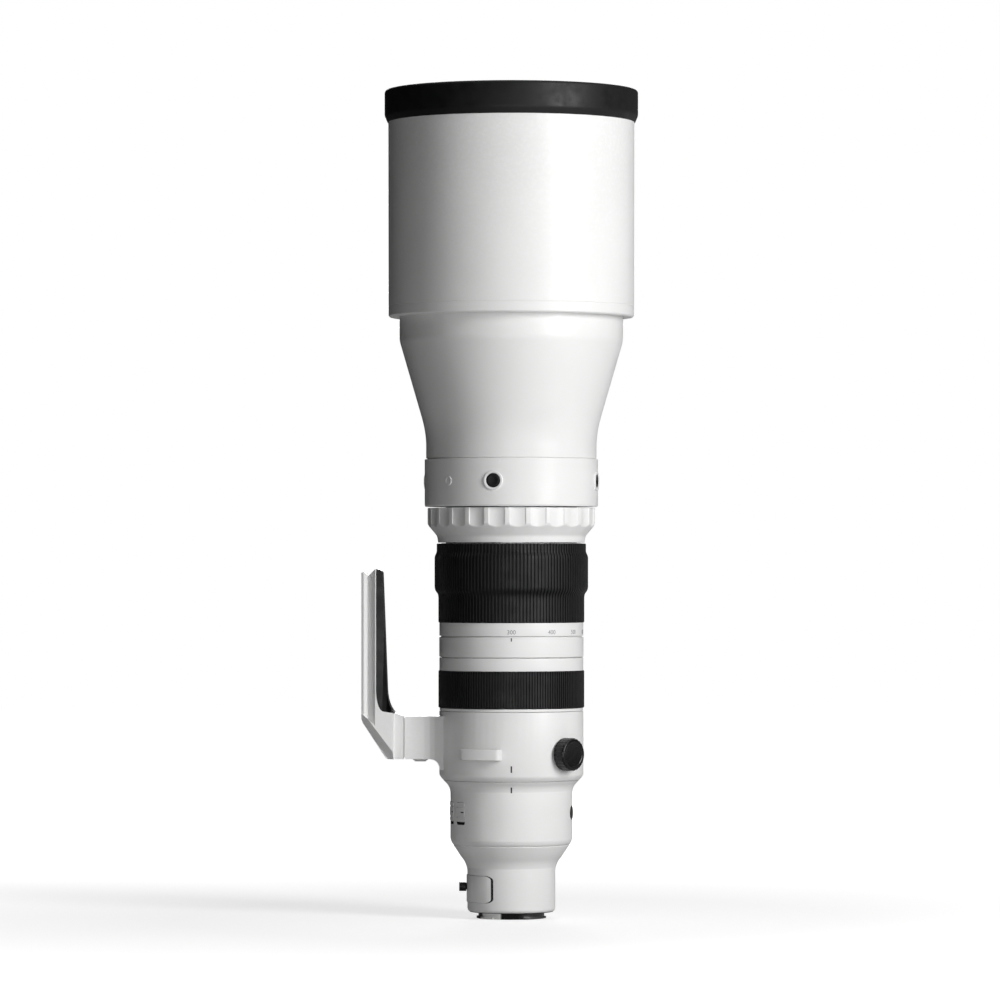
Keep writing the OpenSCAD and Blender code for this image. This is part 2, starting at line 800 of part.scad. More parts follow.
module scallop() {
    // Recess with round lower corners, open at the top, cut by a cylinder that lies along the ring
    reach = function_r - scallop_d;
    cut_r = 21;
    w = 12.3;
    h = function_top_z - function_z;
    intersection() {
        translate([0, -reach - cut_r, function_z]) cylinder(r = cut_r, h = h + over);
        at_side(0, reach - 2, function_top_z - 14.5) linear_extrude(8) union() {
            translate([-w / 2, 3.2]) square([w, h]);
            translate([-w / 2 + 3.2, 0]) square([w - 6.4, 6]);
            for (x = [-1, 1])
                translate([x * (w / 2 - 3.2), 3.2]) circle(r = 3.2, $fn = small);
        }
    }
}

module function_ring() {
    low_r = tube_r + 6.2;
    neck = [low_r, function_z + 3];
    color(white) difference() {
        turned(concat(
            [[low_r - 0.5, function_z], neck],
            bend(neck, neck + [0.2, 1.6], neck + [1.1, 2.8], 4),
            [[function_r - 1.7, function_z + 11.3]],
            bend([function_r - 1.7, function_z + 11.3], [function_r, function_z + 13.3],
                [function_r, function_z + 14.8], 5),
            [[function_r, function_top_z - gap], [function_r - gap, function_top_z],
             [function_r - 4, function_top_z], [function_r - 4, function_z + 16],
             [tube_r + running + 3, function_z + 9], [tube_r + running + 3, function_top_z - 1.5],
             [tube_r + running, function_top_z - 1.5], [tube_r + running, function_z]]
        ));
        for (i = [0:scallop_n - 1])
            rotate([0, 0, 4.4 + i * 360 / scallop_n]) scallop();
    }
}

module afl_places() {
    for (i = [0:afl_n - 1])
        rotate([0, 0, afl_first_angle + i * 360 / afl_n]) children();
}

module control_band() {
    color(white) difference() {
        turned([
            [tube_in_r, band_z], [band_r - 0.6, band_z], [band_r, band_z + 1.4], [band_r, band_top_z],
            [band_r - wall, band_top_z], [band_r - wall, band_z + 3.4], [tube_in_r, band_z + 3.4]
        ]);
        afl_places() {
            at_side(0, band_r - wall - 2, afl_z)
                cylinder(r = button_r + button_gap, h = wall + 4, $fn = small);
            at_side(0, band_r - 1.4, afl_z) cylinder(r = afl_rim_r, h = 4, $fn = small);
        }
        at_side(plug_angle, band_r - 0.6, afl_z) cylinder(r = plug_r, h = 3, $fn = small);
    }
}

module band_trims() {
    band_plug();
    color(white) afl_places() at_side(0, band_r - 1.4, afl_z) rotate_extrude($fn = small) polygon([
        [button_r + button_gap, 0], [afl_rim_r, 0], [afl_rim_r, 1.4 + afl_rim_h - 0.4],
        [afl_rim_r - 0.4, 1.4 + afl_rim_h], [button_r + 0.5, 1.4 + afl_rim_h],
        [button_r + button_gap, 1.4 + afl_rim_h - 0.4]
    ]);
}

module afl_button(i) {
    angle = afl_first_angle + i * 360 / afl_n;
    color(rubber) press_button(angle, band_r, afl_z, button_travel - 0.1, band_r - wall);
}

module band_plug() {
    color(white) at_side(plug_angle, band_r - 0.6, afl_z) difference() {
        cylinder(r = plug_r, h = 1.1, $fn = small);
        translate([0, 0, 0.8]) cylinder(r = 1.9, h = 1, $fn = small);
    }
}

module front_barrel() {
    // The straight flank between the bell's two bends
    knee = bell_top_z - 68.5;
    flank = (front_r - bell_r) / (bell_top_z - knee);
    top = [front_r - 2.6 * flank, bell_top_z - 2.6];
    outline = concat(
        [[bell_r, band_top_z], [bell_r, band_top_z + 10]],
        bend([bell_r, band_top_z + 10], [bell_r, knee], [bell_r + 12 * flank, knee + 12]),
        [top],
        bend(top, [front_r, bell_top_z], [front_r, bell_top_z + 2.6], 4),
        [[front_r, front_z - 1], [front_r - 1, front_z]]
    );
    color(white) turned_shell(outline, wall);
}

module front_cell() {
    color(black) turned([
        [cell_r, cell_z], [cell_r, cell_z + cell_h], [front_lens_r, cell_z + cell_h],
        [front_lens_r, cell_z - 12], [front_lens_r + 1.5, cell_z - 12], [front_lens_r + 2, cell_z]
    ]);
}

module front_elements() {
    element(front_lens_r, cell_z - 11, 5, 5, -4);
    element(front_lens_r, cell_z + 1, 4, -5, 4);
    element(front_lens_r, cell_z + 15, 7, 4, 6);
}

module front_ring() {
    top = front_z - 1.4;
    color(black) turned([
        [cell_r, cell_z + cell_h], [cell_r, top], [cell_r - 1.2, top],
        [front_lens_r - 1, cell_z + cell_h + 1.2], [front_lens_r - 1, cell_z + cell_h]
    ]);
}

module hood_base() {
    seat_r = hood_seat_r + hood_seat_wall;
    inner = hood_r - hood_wall;
    color(white) difference() {
        turned([
            [hood_seat_r, hood_z + 0.8], [hood_seat_r + 0.8, hood_z], [hood_r - 1.2, hood_z],
            [hood_r, hood_z + 1.2], [hood_r, hood_seam_z - seam_v], [hood_r - seam_v, hood_seam_z],
            [inner, hood_seam_z], [inner, hood_z + hood_web_h], [seat_r, hood_z + hood_web_h],
            [seat_r, hood_stop_z + 2], [front_r - 2.5, hood_stop_z + 2], [front_r - 2.5, hood_stop_z],
            [hood_seat_r, hood_stop_z]
        ]);
        at_side(180, hood_seat_r - 4, hood_screw_z)
            cylinder(r = hood_screw_r + 0.05, h = 9, $fn = small);
    }
}

module hood_shell() {
    color(white) difference() {
        union() {
            turned([
                [hood_r - seam_v, hood_seam_z], [hood_r, hood_seam_z + seam_v],
                [hood_front_r, hood_top_z - bumper_t], [hood_front_r - hood_wall, hood_top_z - bumper_t],
                [hood_r - hood_wall, hood_seam_z]
            ]);
            difference() {
                at_side(180, hood_r - hood_wall, hood_screw_z)
                    cylinder(r = hood_boss_r, h = hood_boss_face - hood_r + hood_wall, $fn = small);
                translate([0, 0, hood_z]) cylinder(r = hood_r - hood_wall + 0.5, h = 40);
            }
        }
        at_side(180, hood_r - 8, hood_screw_z) cylinder(r = hood_screw_r + 0.05, h = 16, $fn = small);
    }
}

module hood_bumper() {
    low = bumper_z;
    color(rubber) turned(concat(
        [[hood_front_r, low], [hood_front_r + 0.6, low]],
        [[bumper_r, low + 5], [bumper_r, hood_top_z - 2.6]],
        bend([bumper_r, hood_top_z - 2.6], [bumper_r, hood_top_z], [bumper_r - 2.4, hood_top_z], 5),
        bend([hood_front_r - hood_wall + 1.6, hood_top_z], [hood_front_r - hood_wall, hood_top_z],
            [hood_front_r - hood_wall, hood_top_z - 1.8], 4),
        [[hood_front_r - hood_wall, hood_top_z - bumper_t], [hood_front_r, hood_top_z - bumper_t]]
    ));
}

// Round knob with n shallow flutes, from 0 to h
module fluted_knob(r, h, n) {
    difference() {
        rotate_extrude($fn = 96)
            polygon([[0, 0], [r - 0.4, 0], [r, 0.4], [r, h - 1.2], [r - 1.2, h], [0, h]]);
        for (i = [0:n - 1])
            rotate([0, 0, i * 360 / n]) translate([r + 0.55, 0, 0.9])
                cylinder(r = 1, h = h - 2.6, $fn = 24);
    }
}

module hood_lock_screw() {
    color(rubber) at_side(180, hood_boss_face + gap, hood_screw_z) {
        fluted_knob(hood_knob_r, 9, 18);
        translate([0, 0, hood_seat_r - hood_boss_face - gap])
            cylinder(r = hood_screw_r, h = hood_boss_face + gap - hood_seat_r + over, $fn = small);
    }
}

module collar_ring() {
    bottom = body_top_z + gap;
    edge = [body_flare_r + 0.2, bottom];
    color(white) difference() {
        union() {
            turned(concat(
                [[tube_r + running, bottom], edge],
                bend(edge, [collar_r - 0.3, bottom + 2.6], [collar_r, bottom + 4.4], 5),
                [[collar_r, collar_top_z - 0.3], [collar_r - 0.3, collar_top_z],
                 [tube_r + running, collar_top_z]]
            ));
            difference() {
                collar_arm();
                translate([0, 0, arm_z - 20]) cylinder(r = collar_r - 2, h = arm_h + 40);
            }
        }
        at_side(knob_angle, tube_r - 2, knob_z) cylinder(r = knob_shaft_r + 0.05, h = 12, $fn = small);
        foot_screw_places() translate([0, 0, -14])
            cylinder(r = foot_screw_r + 0.05, h = 14 + over, $fn = small);
    }
}

// Arm of the collar: its side view crossed with its plan view
module collar_arm() {
    root = collar_r - 3;
    intersection() {
        rotate([90, 0, 0]) linear_extrude(4 * arm_w, center = true) polygon(concat(
            [[-root, arm_top_z], [neck_x, arm_top_z], [neck_x, arm_top_z - neck_d],
             [-arm_reach, arm_top_z - neck_d], [-arm_reach, arm_z + neck_d], [neck_x, arm_z + neck_d],
             [neck_x, arm_z], [-root - 10.5, arm_z]],
            bend([-root - 10.5, arm_z], [-root - 3, arm_z], [-root - 2.6, arm_z - 8], 6),
            [[-root + 8, arm_z - 9], [-root + 8, arm_top_z]]
        ));
        translate([0, 0, arm_z - 20]) linear_extrude(arm_h + 30) polygon(concat(
            [[-arm_reach, neck_d - arm_w / 2], [neck_x, neck_d - arm_w / 2], [neck_x, -arm_w / 2],
             [-root - 14, -arm_w / 2]],
            bend([-root - 14, -arm_w / 2], [-root - 2, -arm_w / 2], [-root + 8, -arm_w / 2 - 9], 6),
            [[-root + 8, arm_w / 2 + 9]],
            bend([-root + 8, arm_w / 2 + 9], [-root - 2, arm_w / 2], [-root - 14, arm_w / 2], 6),
            [[neck_x, arm_w / 2], [neck_x, arm_w / 2 - neck_d], [-arm_reach, arm_w / 2 - neck_d]]
        ));
    }
}

// Axes of the four foot screws, pointing away from the lens, from the arm's face
module foot_screw_places() {
    for (y = [-1, 1], z = [-1, 1])
        translate([-arm_reach, y * foot_screw_y, arm_mid_z + z * foot_screw_z])
            rotate([0, -90, 0]) children();
}

// Side view of the foot, from the joint face round the outer face to the hand pad
function foot_outline() = concat(
    [[-arm_reach, arm_top_z], [-arm_reach, arm_z], [-foot_reach + 19.7, arm_z],
     [-foot_reach + 17.7, arm_z + 1.5], [-foot_reach + 1.1, arm_z + 27], [-foot_reach, arm_z + 30],
     [-foot_reach, foot_top_z],
     [-foot_inner, foot_top_z]],
    [[-foot_inner, arm_top_z + 17]],
    pad_back(),
    [[-arm_reach - 6.4, arm_top_z + 2.4]]
);

// Bend where the hand pad's back runs round into the foot's block
function pad_back() =
    bend([-foot_inner, arm_top_z + 17], [-foot_inner + 1, arm_top_z + 4],
        [-foot_inner + 6, arm_top_z + 3.4]);

// V groove between dovetail and body. The first value is the way in from the outer face, the
// second the way out from the dovetail's edge
function groove_outline() = [
    [-over, groove_body_step + 4], [-over, -dovetail_edge], [1.6, 0], [2, 0],
    [2 + groove_d, -groove_d], [2 + 2 * groove_d + groove_body_step, groove_body_step],
    [2 + 2 * groove_d + groove_body_step, groove_body_step + 4]
];

// The groove along the foot's side, down to a slanting end
module dovetail_groove(side) {
    intersection() {
        translate([-foot_reach, side * dovetail_w / 2, arm_z]) linear_extrude(foot_h + over)
            polygon([for (p = groove_outline()) [p[0], side * p[1]]]);
        rotate([90, 0, 0]) linear_extrude(2 * foot_w, center = true) polygon([
            [-foot_reach - 2, arm_z + 36], [-foot_reach + 14, arm_z + 22],
            [-foot_reach + 14, foot_top_z + 9], [-foot_reach - 2, foot_top_z + 9]
        ]);
    }
}

module foot() {
    color(white) difference() {
        rotate([90, 0, 0]) linear_extrude(foot_w, center = true) polygon(foot_outline());
        for (side = [-1, 1]) {
            dovetail_groove(side);
            // Chamfer beside the slanted face
            translate([-foot_reach + 9.4, side * foot_w / 2, arm_z + 14.2])
                rotate([0, -37, 0]) rotate([0, 0, 45]) cube([8.4, 8.4, 46], center = true);
            // The block narrows towards the joint with the arm
            translate([-foot_inner + 14, side * (arm_w / 2 + 10 + 0.01), arm_z - over])
                rotate([0, 0, side * 8]) translate([-2, -10, 0]) cube([30, 20, arm_h + 12]);
        }
        // The groove runs round the foot's upper end as well
        translate([-foot_reach, 0, foot_top_z - groove_body_step])
            rotate([90, 0, 0]) linear_extrude(2 * foot_w, center = true) polygon(groove_outline());
        foot_screw_places() {
            translate([0, 0, -over]) cylinder(r = foot_screw_r + 0.05, h = 40, $fn = small);
            translate([0, 0, 6]) cylinder(r = 4.6, h = 40, $fn = small);
        }
        foot_thread(foot_thread_z, thread_large_r, thread_large_depth);
        foot_thread(foot_thread_z + foot_thread_step, thread_small_r, thread_small_depth);
    }
}

// Blind threaded hole in the foot's outer face
module foot_thread(z, r, depth) {
    translate([-foot_reach - over, 0, z]) rotate([0, 90, 0])
        cylinder(r = r, h = depth + over, $fn = small);
}

module foot_pad() {
    low = arm_top_z + 2.4;
    tip_x = -arm_reach - 6.4;
    color(rubber) difference() {
        rotate([90, 0, 0]) linear_extrude(foot_w - 1, center = true) polygon(concat(
            [[-foot_inner, foot_top_z - 0.2], [-foot_inner, arm_top_z + 17]],
            pad_back(),
            [[tip_x, low]],
            bend([tip_x, low], [-foot_inner + pad_t_low, arm_top_z + 8],
                [-foot_inner + pad_t_low - 0.4, arm_top_z + 20]),
            bend([-foot_inner + pad_t_top + 0.2, foot_top_z - 4], [-foot_inner + pad_t_top, foot_top_z - 0.6],
                [-foot_inner + pad_t_top - 3.4, foot_top_z - 0.2])
        ));
        for (side = [-1, 1])
            translate([-foot_inner + pad_t_low + 0.5, side * foot_w / 2, foot_top_z + 10 - foot_h / 2])
                rotate([0, 1.6, 0]) rotate([0, 0, 45]) cube([5.4, 5.4, foot_h + 9], center = true);
    }
}

module foot_screws() {
    color(steel) foot_screw_places() difference() {
        union() {
            translate([0, 0, -13]) cylinder(r = foot_screw_r, h = 20, $fn = small);
            translate([0, 0, 6]) cylinder(r = 4.25, h = 4, $fn = small);
        }
        translate([0, 0, 7.5]) cylinder(r = 2.3, h = 4, $fn = 6);
    }
}

module arm_plug() {
    color(white) translate([arm_plug_x, 0, arm_z]) mirror([0, 0, 1]) {
        cylinder(r = 5.7, h = 1.1, $fn = small);
        cylinder(r = 4.4, h = 2.1, $fn = small);
    }
}

module collar_knob() {
    color(rubber) at_side(knob_angle, collar_r + gap, knob_z) {
        fluted_knob(knob_r, knob_face_r - collar_r - gap, 24);
        translate([0, 0, tube_r - collar_r])
            cylinder(r = knob_shaft_r, h = collar_r - tube_r + over, $fn = small);
    }
}

module collar_fittings() {
    arm_plug();
    strap_lugs();
}

module strap_lugs() {
    slot_r = lug_r - lug_t;
    width = lug_w / lug_r * 180 / PI;
    foot_width = 2.6 / lug_r * 180 / PI;
    color(white) for (a = [0, 180]) {
        tube_sector(lug_r, slot_r, lug_z, lug_z + lug_h, lug_angle + a, width);
        for (s = [-1, 1])
            tube_sector(lug_r - 0.5, collar_r, lug_z, lug_z + lug_h,
                lug_angle + a + s * (width - foot_width) / 2, foot_width);
    }
}

module focus_unit() {
    focus_rods();
    focus_motor();
    color(alloy) difference() {
        union() {
            tube(body_in_r, focus_carrier_r - 4, focus_plate_z, focus_plate_z + focus_plate_t);
            tube(body_in_r, focus_carrier_r - 4, focus_front_z, focus_front_z + focus_plate_t);
        }
        focus_rod_places(focus_plate_z - over)
            cylinder(r = focus_rod_r, h = focus_front_z + focus_plate_t - focus_plate_z + 2 * over,
                $fn = small);
    }
}

module focus_rod_places(z) {
    for (a = [30, 150, 270])
        at_side(a, focus_rod_circle, z) rotate([-90, 0, 0]) children();
}

module focus_rods() {
    color(steel) focus_rod_places(focus_plate_z)
        cylinder(r = focus_rod_r, h = focus_front_z + focus_plate_t - focus_plate_z, $fn = small);
}

module focus_motor() {
    z0 = focus_plate_z + focus_plate_t;
    color(steel) translate([-7, focus_coil_r + gap, z0])
        cube([14, 5, focus_front_z - z0]);
}

module focus_carrier() {
    color(black) difference() {
        union() {
            tube(focus_carrier_r, focus_lens_r, focus_group_z, focus_group_z + focus_carrier_h);
            focus_rod_places(focus_group_z + 3) cylinder(r = focus_rod_r + 2, h = 8, $fn = small);
            for (a = [30, 150, 270])
                rotate([0, 0, a]) translate([-2, -focus_rod_circle, focus_group_z + 3])
                    cube([4, focus_rod_circle - focus_carrier_r + 1, 8]);
            translate([-6, focus_carrier_r - 1, focus_group_z + 2])
                cube([12, focus_coil_r - focus_carrier_r + 1, 10]);
        }
        focus_rod_places(focus_group_z - over)
            cylinder(r = focus_rod_r + 0.05, h = focus_carrier_h + 2 * over, $fn = small);
    }
}

module focus_lens() {
    element(focus_lens_r, focus_group_z + 3, 3, -1.5, 1);
    element(focus_lens_r, focus_group_z + 9, 2, 1, 1.5);
}

module iris_unit() {
    iris_blades();
    color(black) {
        tube(tube_in_r, iris_r + 1, iris_z, iris_z + 1.5);
        tube(tube_in_r, tube_in_r - 2, iris_z + 1.5, iris_z + iris_h);
    }
}

// Curved blade, swung clear of the opening, each one a step above the last
module iris_blades() {
    for (i = [0:blade_n - 1])
        color(black) rotate([0, 0, i * 360 / blade_n])
            translate([0, 0, iris_z + 1.8 + i * blade_pitch]) {
                tube_sector(iris_r + 14, iris_r + 2, 0, blade_t, 0, 75);
                rotate([0, 0, -30]) translate([0, -iris_r - 16, 0])
                    cylinder(r = 3.4, h = blade_t, $fn = small);
            }
}

module iris_ring() {
    z = iris_z + 1.8 + blade_n * blade_pitch + gap;
    color(alloy) difference() {
        tube(tube_in_r - 2 - running, iris_r + 2, z, z + 1.5);
        for (i = [0:blade_n - 1])
            rotate([0, 0, i * 360 / blade_n]) translate([0, -iris_r - 10, z - over]) rotate([0, 0, 35])
                cube([2, 9, 5], center = true);
    }
}

module stabiliser_frame() {
    color(alloy) {
        tube(tube_in_r, stabiliser_lens_r + 5, stabiliser_z, stabiliser_z + 2.5);
        tube(tube_in_r, tube_in_r - 2, stabiliser_z + 2.5, stabiliser_z + stabiliser_h);
    }
}

module stabiliser_slide() {
    z = stabiliser_z + 2.5 + gap;
    color(brass) tube(stabiliser_slide_r, stabiliser_lens_r + 3, z, z + 2);
}

module stabiliser_holder() {
    z = stabiliser_z + 4.5 + 2 * gap;
    color(black) {
        tube(stabiliser_slide_r, stabiliser_lens_r, z, z + 2);
        tube(stabiliser_holder_r, stabiliser_lens_r, z + 2, z + 10);
    }
}

module stabiliser_lens() {
    element(stabiliser_lens_r, stabiliser_z + 7.5, 4, 1, 2.5);
}

mount_plate();
mount_screws();
mount_seal();
contact_block();
rear_casing();
filter_holder();
filter_glass();
filter_lock_knob();
rear_cell();
rear_elements();
body_casing();
custom_button();
main_tube();
circuit_boards();
thin_ring();
index_ring();
focus_ring();
focus_grip();
zoom_ring();
zoom_grip();
cam_tube();
guide_tube();
zoom_carrier_a();
zoom_lens_a();
zoom_carrier_b();
zoom_lens_b();
function_ring();
control_band();
band_trims();
front_barrel();
front_cell();
front_elements();
front_ring();
hood_base();
hood_shell();
hood_bumper();
hood_lock_screw();
collar_ring();
collar_knob();
collar_fittings();
foot();
foot_pad();
foot_screws();
focus_unit();
focus_carrier();
focus_lens();
iris_unit();
iris_ring();
stabiliser_frame();
stabiliser_slide();
stabiliser_holder();
stabiliser_lens();
for (i = [1:switch_n])
    switch_slider(i - 1);
for (i = [1:afl_n])
    afl_button(i - 1);
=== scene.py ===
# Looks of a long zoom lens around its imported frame: finishes, fine detail, light and camera.
# The optical axis is Z and the front points up. Lengths are written in millimetres and turned
# into metres by MM; the stage and its lights are in metres. Angles round the axis are in
# degrees, start at -Y and grow towards +X.
import math

import bmesh
import bpy
from mathutils import Matrix, Vector


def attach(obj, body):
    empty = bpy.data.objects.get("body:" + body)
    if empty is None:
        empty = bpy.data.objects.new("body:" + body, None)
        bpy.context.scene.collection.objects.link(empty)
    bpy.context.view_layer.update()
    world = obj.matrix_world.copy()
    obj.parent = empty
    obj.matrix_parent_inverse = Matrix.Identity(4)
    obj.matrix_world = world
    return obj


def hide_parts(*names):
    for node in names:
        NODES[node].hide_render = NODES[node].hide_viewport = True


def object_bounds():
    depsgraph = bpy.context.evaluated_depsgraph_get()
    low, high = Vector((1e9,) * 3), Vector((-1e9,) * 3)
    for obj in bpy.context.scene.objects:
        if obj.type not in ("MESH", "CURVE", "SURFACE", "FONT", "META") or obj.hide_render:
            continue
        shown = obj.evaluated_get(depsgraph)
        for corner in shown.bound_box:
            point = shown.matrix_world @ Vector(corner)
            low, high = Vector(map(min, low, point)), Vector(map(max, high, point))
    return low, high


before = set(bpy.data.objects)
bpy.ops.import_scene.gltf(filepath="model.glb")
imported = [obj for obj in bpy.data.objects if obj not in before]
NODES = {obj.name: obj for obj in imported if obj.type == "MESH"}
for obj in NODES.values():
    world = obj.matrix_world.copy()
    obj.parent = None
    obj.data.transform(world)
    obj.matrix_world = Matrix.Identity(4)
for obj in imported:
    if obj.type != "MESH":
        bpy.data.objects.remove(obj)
CAD_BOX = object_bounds()
MM = 0.001

# The photograph's camera. Its distance in pixels is also its focal length in pixels. The axis,
# the mount's flange and the eye's height are given by their pixels in the photograph.
PIXELS = 1000
MM_PER_PIXEL = 0.7478
CAMERA_PIXELS = 5537
AXIS_PIXEL_X = 511.35
FLANGE_PIXEL_Y = 911.2
EYE_PIXEL_Y = 563.7
SENSOR_MM = 36

# Floor: size, gap under the object, grey, and the glow that makes it white to the camera.
# The glow grows between two distances; in reflections it grows between two places along X.
FLOOR_HALF = 6
FLOOR_GAP = 0.0002
FLOOR_GREY = 0.45
GLOW_DISTANCES = (0.25, 0.9)
GLOW_NEAR = 0.68
MIRROR_SIDES = (-0.3, 0.9)
MIRROR_GLOW = 0.4

# The room: its light on matt surfaces, and how glossy ones see its sides, back and top
ROOM_LIGHT = 0.015
ROOM_LEVEL = 0.7
DARK_LEFT = 0.02
DARK_RIGHT = 0.04
DARK_BACK = 0.15
OVERHEAD = 1.1

# Name, place, target, size in metres, power in watts and spread in degrees of each lamp
LIGHTS = (
    ("key", (1.06, -1.0, 0.75), (0, 0, 0.4), (0.5, 0.9), 21, 180),
    ("front", (0.05, -1.35, 0.2), (0, 0, 0.15), (0.9, 0.3), 4, 180),
    ("low", (-0.5, -0.5, 0.06), (0, 0, 0.04), (0.1, 0.05), 0.006, 30),
    ("back", (0, 2.2, 0.9), (0, 0, 0.3), (0.6, 0.8), 20, 180),
)

# Round outlines are cut into this many steps, small ones into fewer
STEPS = 288
SMALL_STEPS = 64
SHAFT_STEPS = 48


# Stage, light and camera
def add_to_scene(name, data):
    obj = bpy.data.objects.new(name, data)
    bpy.context.scene.collection.objects.link(obj)
    return obj


def make_camera():
    data = bpy.data.cameras.new("camera")
    data.sensor_width = SENSOR_MM
    data.lens = CAMERA_PIXELS * SENSOR_MM / PIXELS
    data.shift_x = (PIXELS / 2 - AXIS_PIXEL_X) / PIXELS
    data.shift_y = (EYE_PIXEL_Y - PIXELS / 2) / PIXELS
    camera = add_to_scene("camera", data)
    distance = CAMERA_PIXELS * MM_PER_PIXEL * MM
    height = (FLANGE_PIXEL_Y - EYE_PIXEL_Y) * MM_PER_PIXEL * MM
    camera.location = (0, -distance, height)
    camera.rotation_euler = (math.pi / 2, 0, 0)
    bpy.context.scene.camera = camera


def area_light(name, place, target, size, power, spread_degrees):
    data = bpy.data.lights.new(name, "AREA")
    data.shape = "RECTANGLE"
    data.size, data.size_y = size
    data.energy = power
    data.spread = math.radians(spread_degrees)
    light = add_to_scene(name, data)
    light.location = place
    aim = Vector(target) - Vector(place)
    light.rotation_euler = aim.to_track_quat("-Z", "Y").to_euler()
    light.visible_camera = False


def make_floor():
    """White to the camera but for the shadow, and darker to the left in reflections."""
    low = CAD_BOX[0].z - FLOOR_GAP
    mesh = bpy.data.meshes.new("floor")
    mesh.from_pydata([(x * FLOOR_HALF, y * FLOOR_HALF, low)
                      for x, y in ((-1, -1), (1, -1), (1, 1), (-1, 1))], [], [(0, 1, 2, 3)])
    floor = add_to_scene("floor", mesh)
    material = bpy.data.materials.new("floor")
    tree, nodes, links = tree_of(material)
    diffuse = nodes.new("ShaderNodeBsdfDiffuse")
    feed(tree, (FLOOR_GREY,) * 3, diffuse.inputs["Color"])
    # Round the object the glow is held back, so that its shadow shows
    coords = nodes.new("ShaderNodeTexCoord")
    away = nodes.new("ShaderNodeVectorMath")
    away.operation = "LENGTH"
    links.new(coords.outputs["Object"], away.inputs[0])
    level = spread(tree, away.outputs["Value"], *GLOW_DISTANCES, GLOW_NEAR, 1.0)
    side = spread(tree, axes(tree)["X"], *MIRROR_SIDES, 0.0, MIRROR_GLOW)
    path = nodes.new("ShaderNodeLightPath").outputs
    glow = nodes.new("ShaderNodeEmission")
    feed(tree, calculate(tree, "ADD", product(tree, path["Is Camera Ray"], level),
                         product(tree, path["Is Glossy Ray"], side)), glow.inputs["Strength"])
    add = nodes.new("ShaderNodeAddShader")
    links.new(diffuse.outputs[0], add.inputs[0])
    links.new(glow.outputs[0], add.inputs[1])
    out = nodes.new("ShaderNodeOutputMaterial")
    links.new(add.outputs[0], out.inputs["Surface"])
    mesh.materials.append(material)


def make_world():
    """White to the camera and through glass, dim on matt surfaces, uneven on glossy ones."""
    world = bpy.data.worlds.new("world")
    bpy.context.scene.world = world
    tree, nodes, links = tree_of(world)

    def background(strength):
        node = nodes.new("ShaderNodeBackground")
        feed(tree, (1, 1, 1), node.inputs["Color"])
        feed(tree, strength, node.inputs["Strength"])
        return node.outputs[0]

    def mix(*sockets):
        node = nodes.new("ShaderNodeMixShader")
        for value, socket in zip(sockets, node.inputs):
            links.new(value, socket)
        return node.outputs[0]

    path = nodes.new("ShaderNodeLightPath").outputs
    seen = calculate(tree, "MAXIMUM", path["Is Camera Ray"], path["Is Transmission Ray"])
    plain = mix(seen, background(ROOM_LIGHT), background(1))
    # Glossy surfaces see the white room in front, and its darker sides and back
    x, y, z = axes(tree, "Generated")
    level = product(tree, spread(tree, x, -0.5, 0.75, DARK_LEFT, ROOM_LEVEL),
                    spread(tree, x, 0.8, 1.0, 1, DARK_RIGHT),
                    spread(tree, y, 0.0, 0.8, ROOM_LEVEL, DARK_BACK))
    mirrored = calculate(tree, "ADD", level, spread(tree, z, 0.6, 0.95, 0, OVERHEAD))
    out = nodes.new("ShaderNodeOutputWorld")
    links.new(mix(path["Is Glossy Ray"], plain, background(mirrored)), out.inputs["Surface"])


# Shader nodes
def tree_of(owner):
    """Emptied node tree of a material or a world, with its nodes and links."""
    owner.use_nodes = True
    tree = owner.node_tree
    tree.nodes.clear()
    return tree, tree.nodes, tree.links


def feed(tree, value, socket):
    """Gives a socket another socket's value, a plain number, or a color without its alpha."""
    if isinstance(value, tuple):
        socket.default_value = (*value, 1)
    elif isinstance(value, (int, float)):
        socket.default_value = value
    else:
        tree.links.new(value, socket)


def calculate(tree, operation, *values):
    node = tree.nodes.new("ShaderNodeMath")
    node.operation = operation
    for value, socket in zip(values, node.inputs):
        feed(tree, value, socket)
    return node.outputs[0]


def product(tree, *values):
    """All the values multiplied."""
    total = values[0]
    for value in values[1:]:
        total = calculate(tree, "MULTIPLY", total, value)
    return total


def axes(tree, space="Object"):
    """X, Y and Z of the texture coordinates in that space."""
    coords = tree.nodes.new("ShaderNodeTexCoord")
    split = tree.nodes.new("ShaderNodeSeparateXYZ")
    tree.links.new(coords.outputs[space], split.inputs[0])
    return split.outputs


def noise(tree, scale, detail=2.0, stretch=(1, 1, 1)):
    """Noise in the object's own space, scale in features per metre."""
    coords = tree.nodes.new("ShaderNodeTexCoord")
    mapping = tree.nodes.new("ShaderNodeMapping")
    mapping.inputs["Scale"].default_value = stretch
    texture = tree.nodes.new("ShaderNodeTexNoise")
    texture.inputs["Scale"].default_value = scale
    texture.inputs["Detail"].default_value = detail
    tree.links.new(coords.outputs["Object"], mapping.inputs["Vector"])
    tree.links.new(mapping.outputs["Vector"], texture.inputs["Vector"])
    return texture.outputs["Fac"]


def spread(tree, value, low, high, out_low, out_high):
    """Maps a value from one range to another, clamped."""
    node = tree.nodes.new("ShaderNodeMapRange")
    for name, limit in (("From Min", low), ("From Max", high),
                        ("To Min", out_low), ("To Max", out_high)):
        node.inputs[name].default_value = limit
    tree.links.new(value, node.inputs["Value"])
    return node.outputs["Result"]


def blend_colors(tree, factor, first, second):
    node = tree.nodes.new("ShaderNodeMix")
    node.data_type = "RGBA"
    feed(tree, first, node.inputs["A"])
    feed(tree, second, node.inputs["B"])
    feed(tree, factor, node.inputs["Factor"])
    return node.outputs["Result"]


def times(color, share):
    return tuple(c * share for c in color)


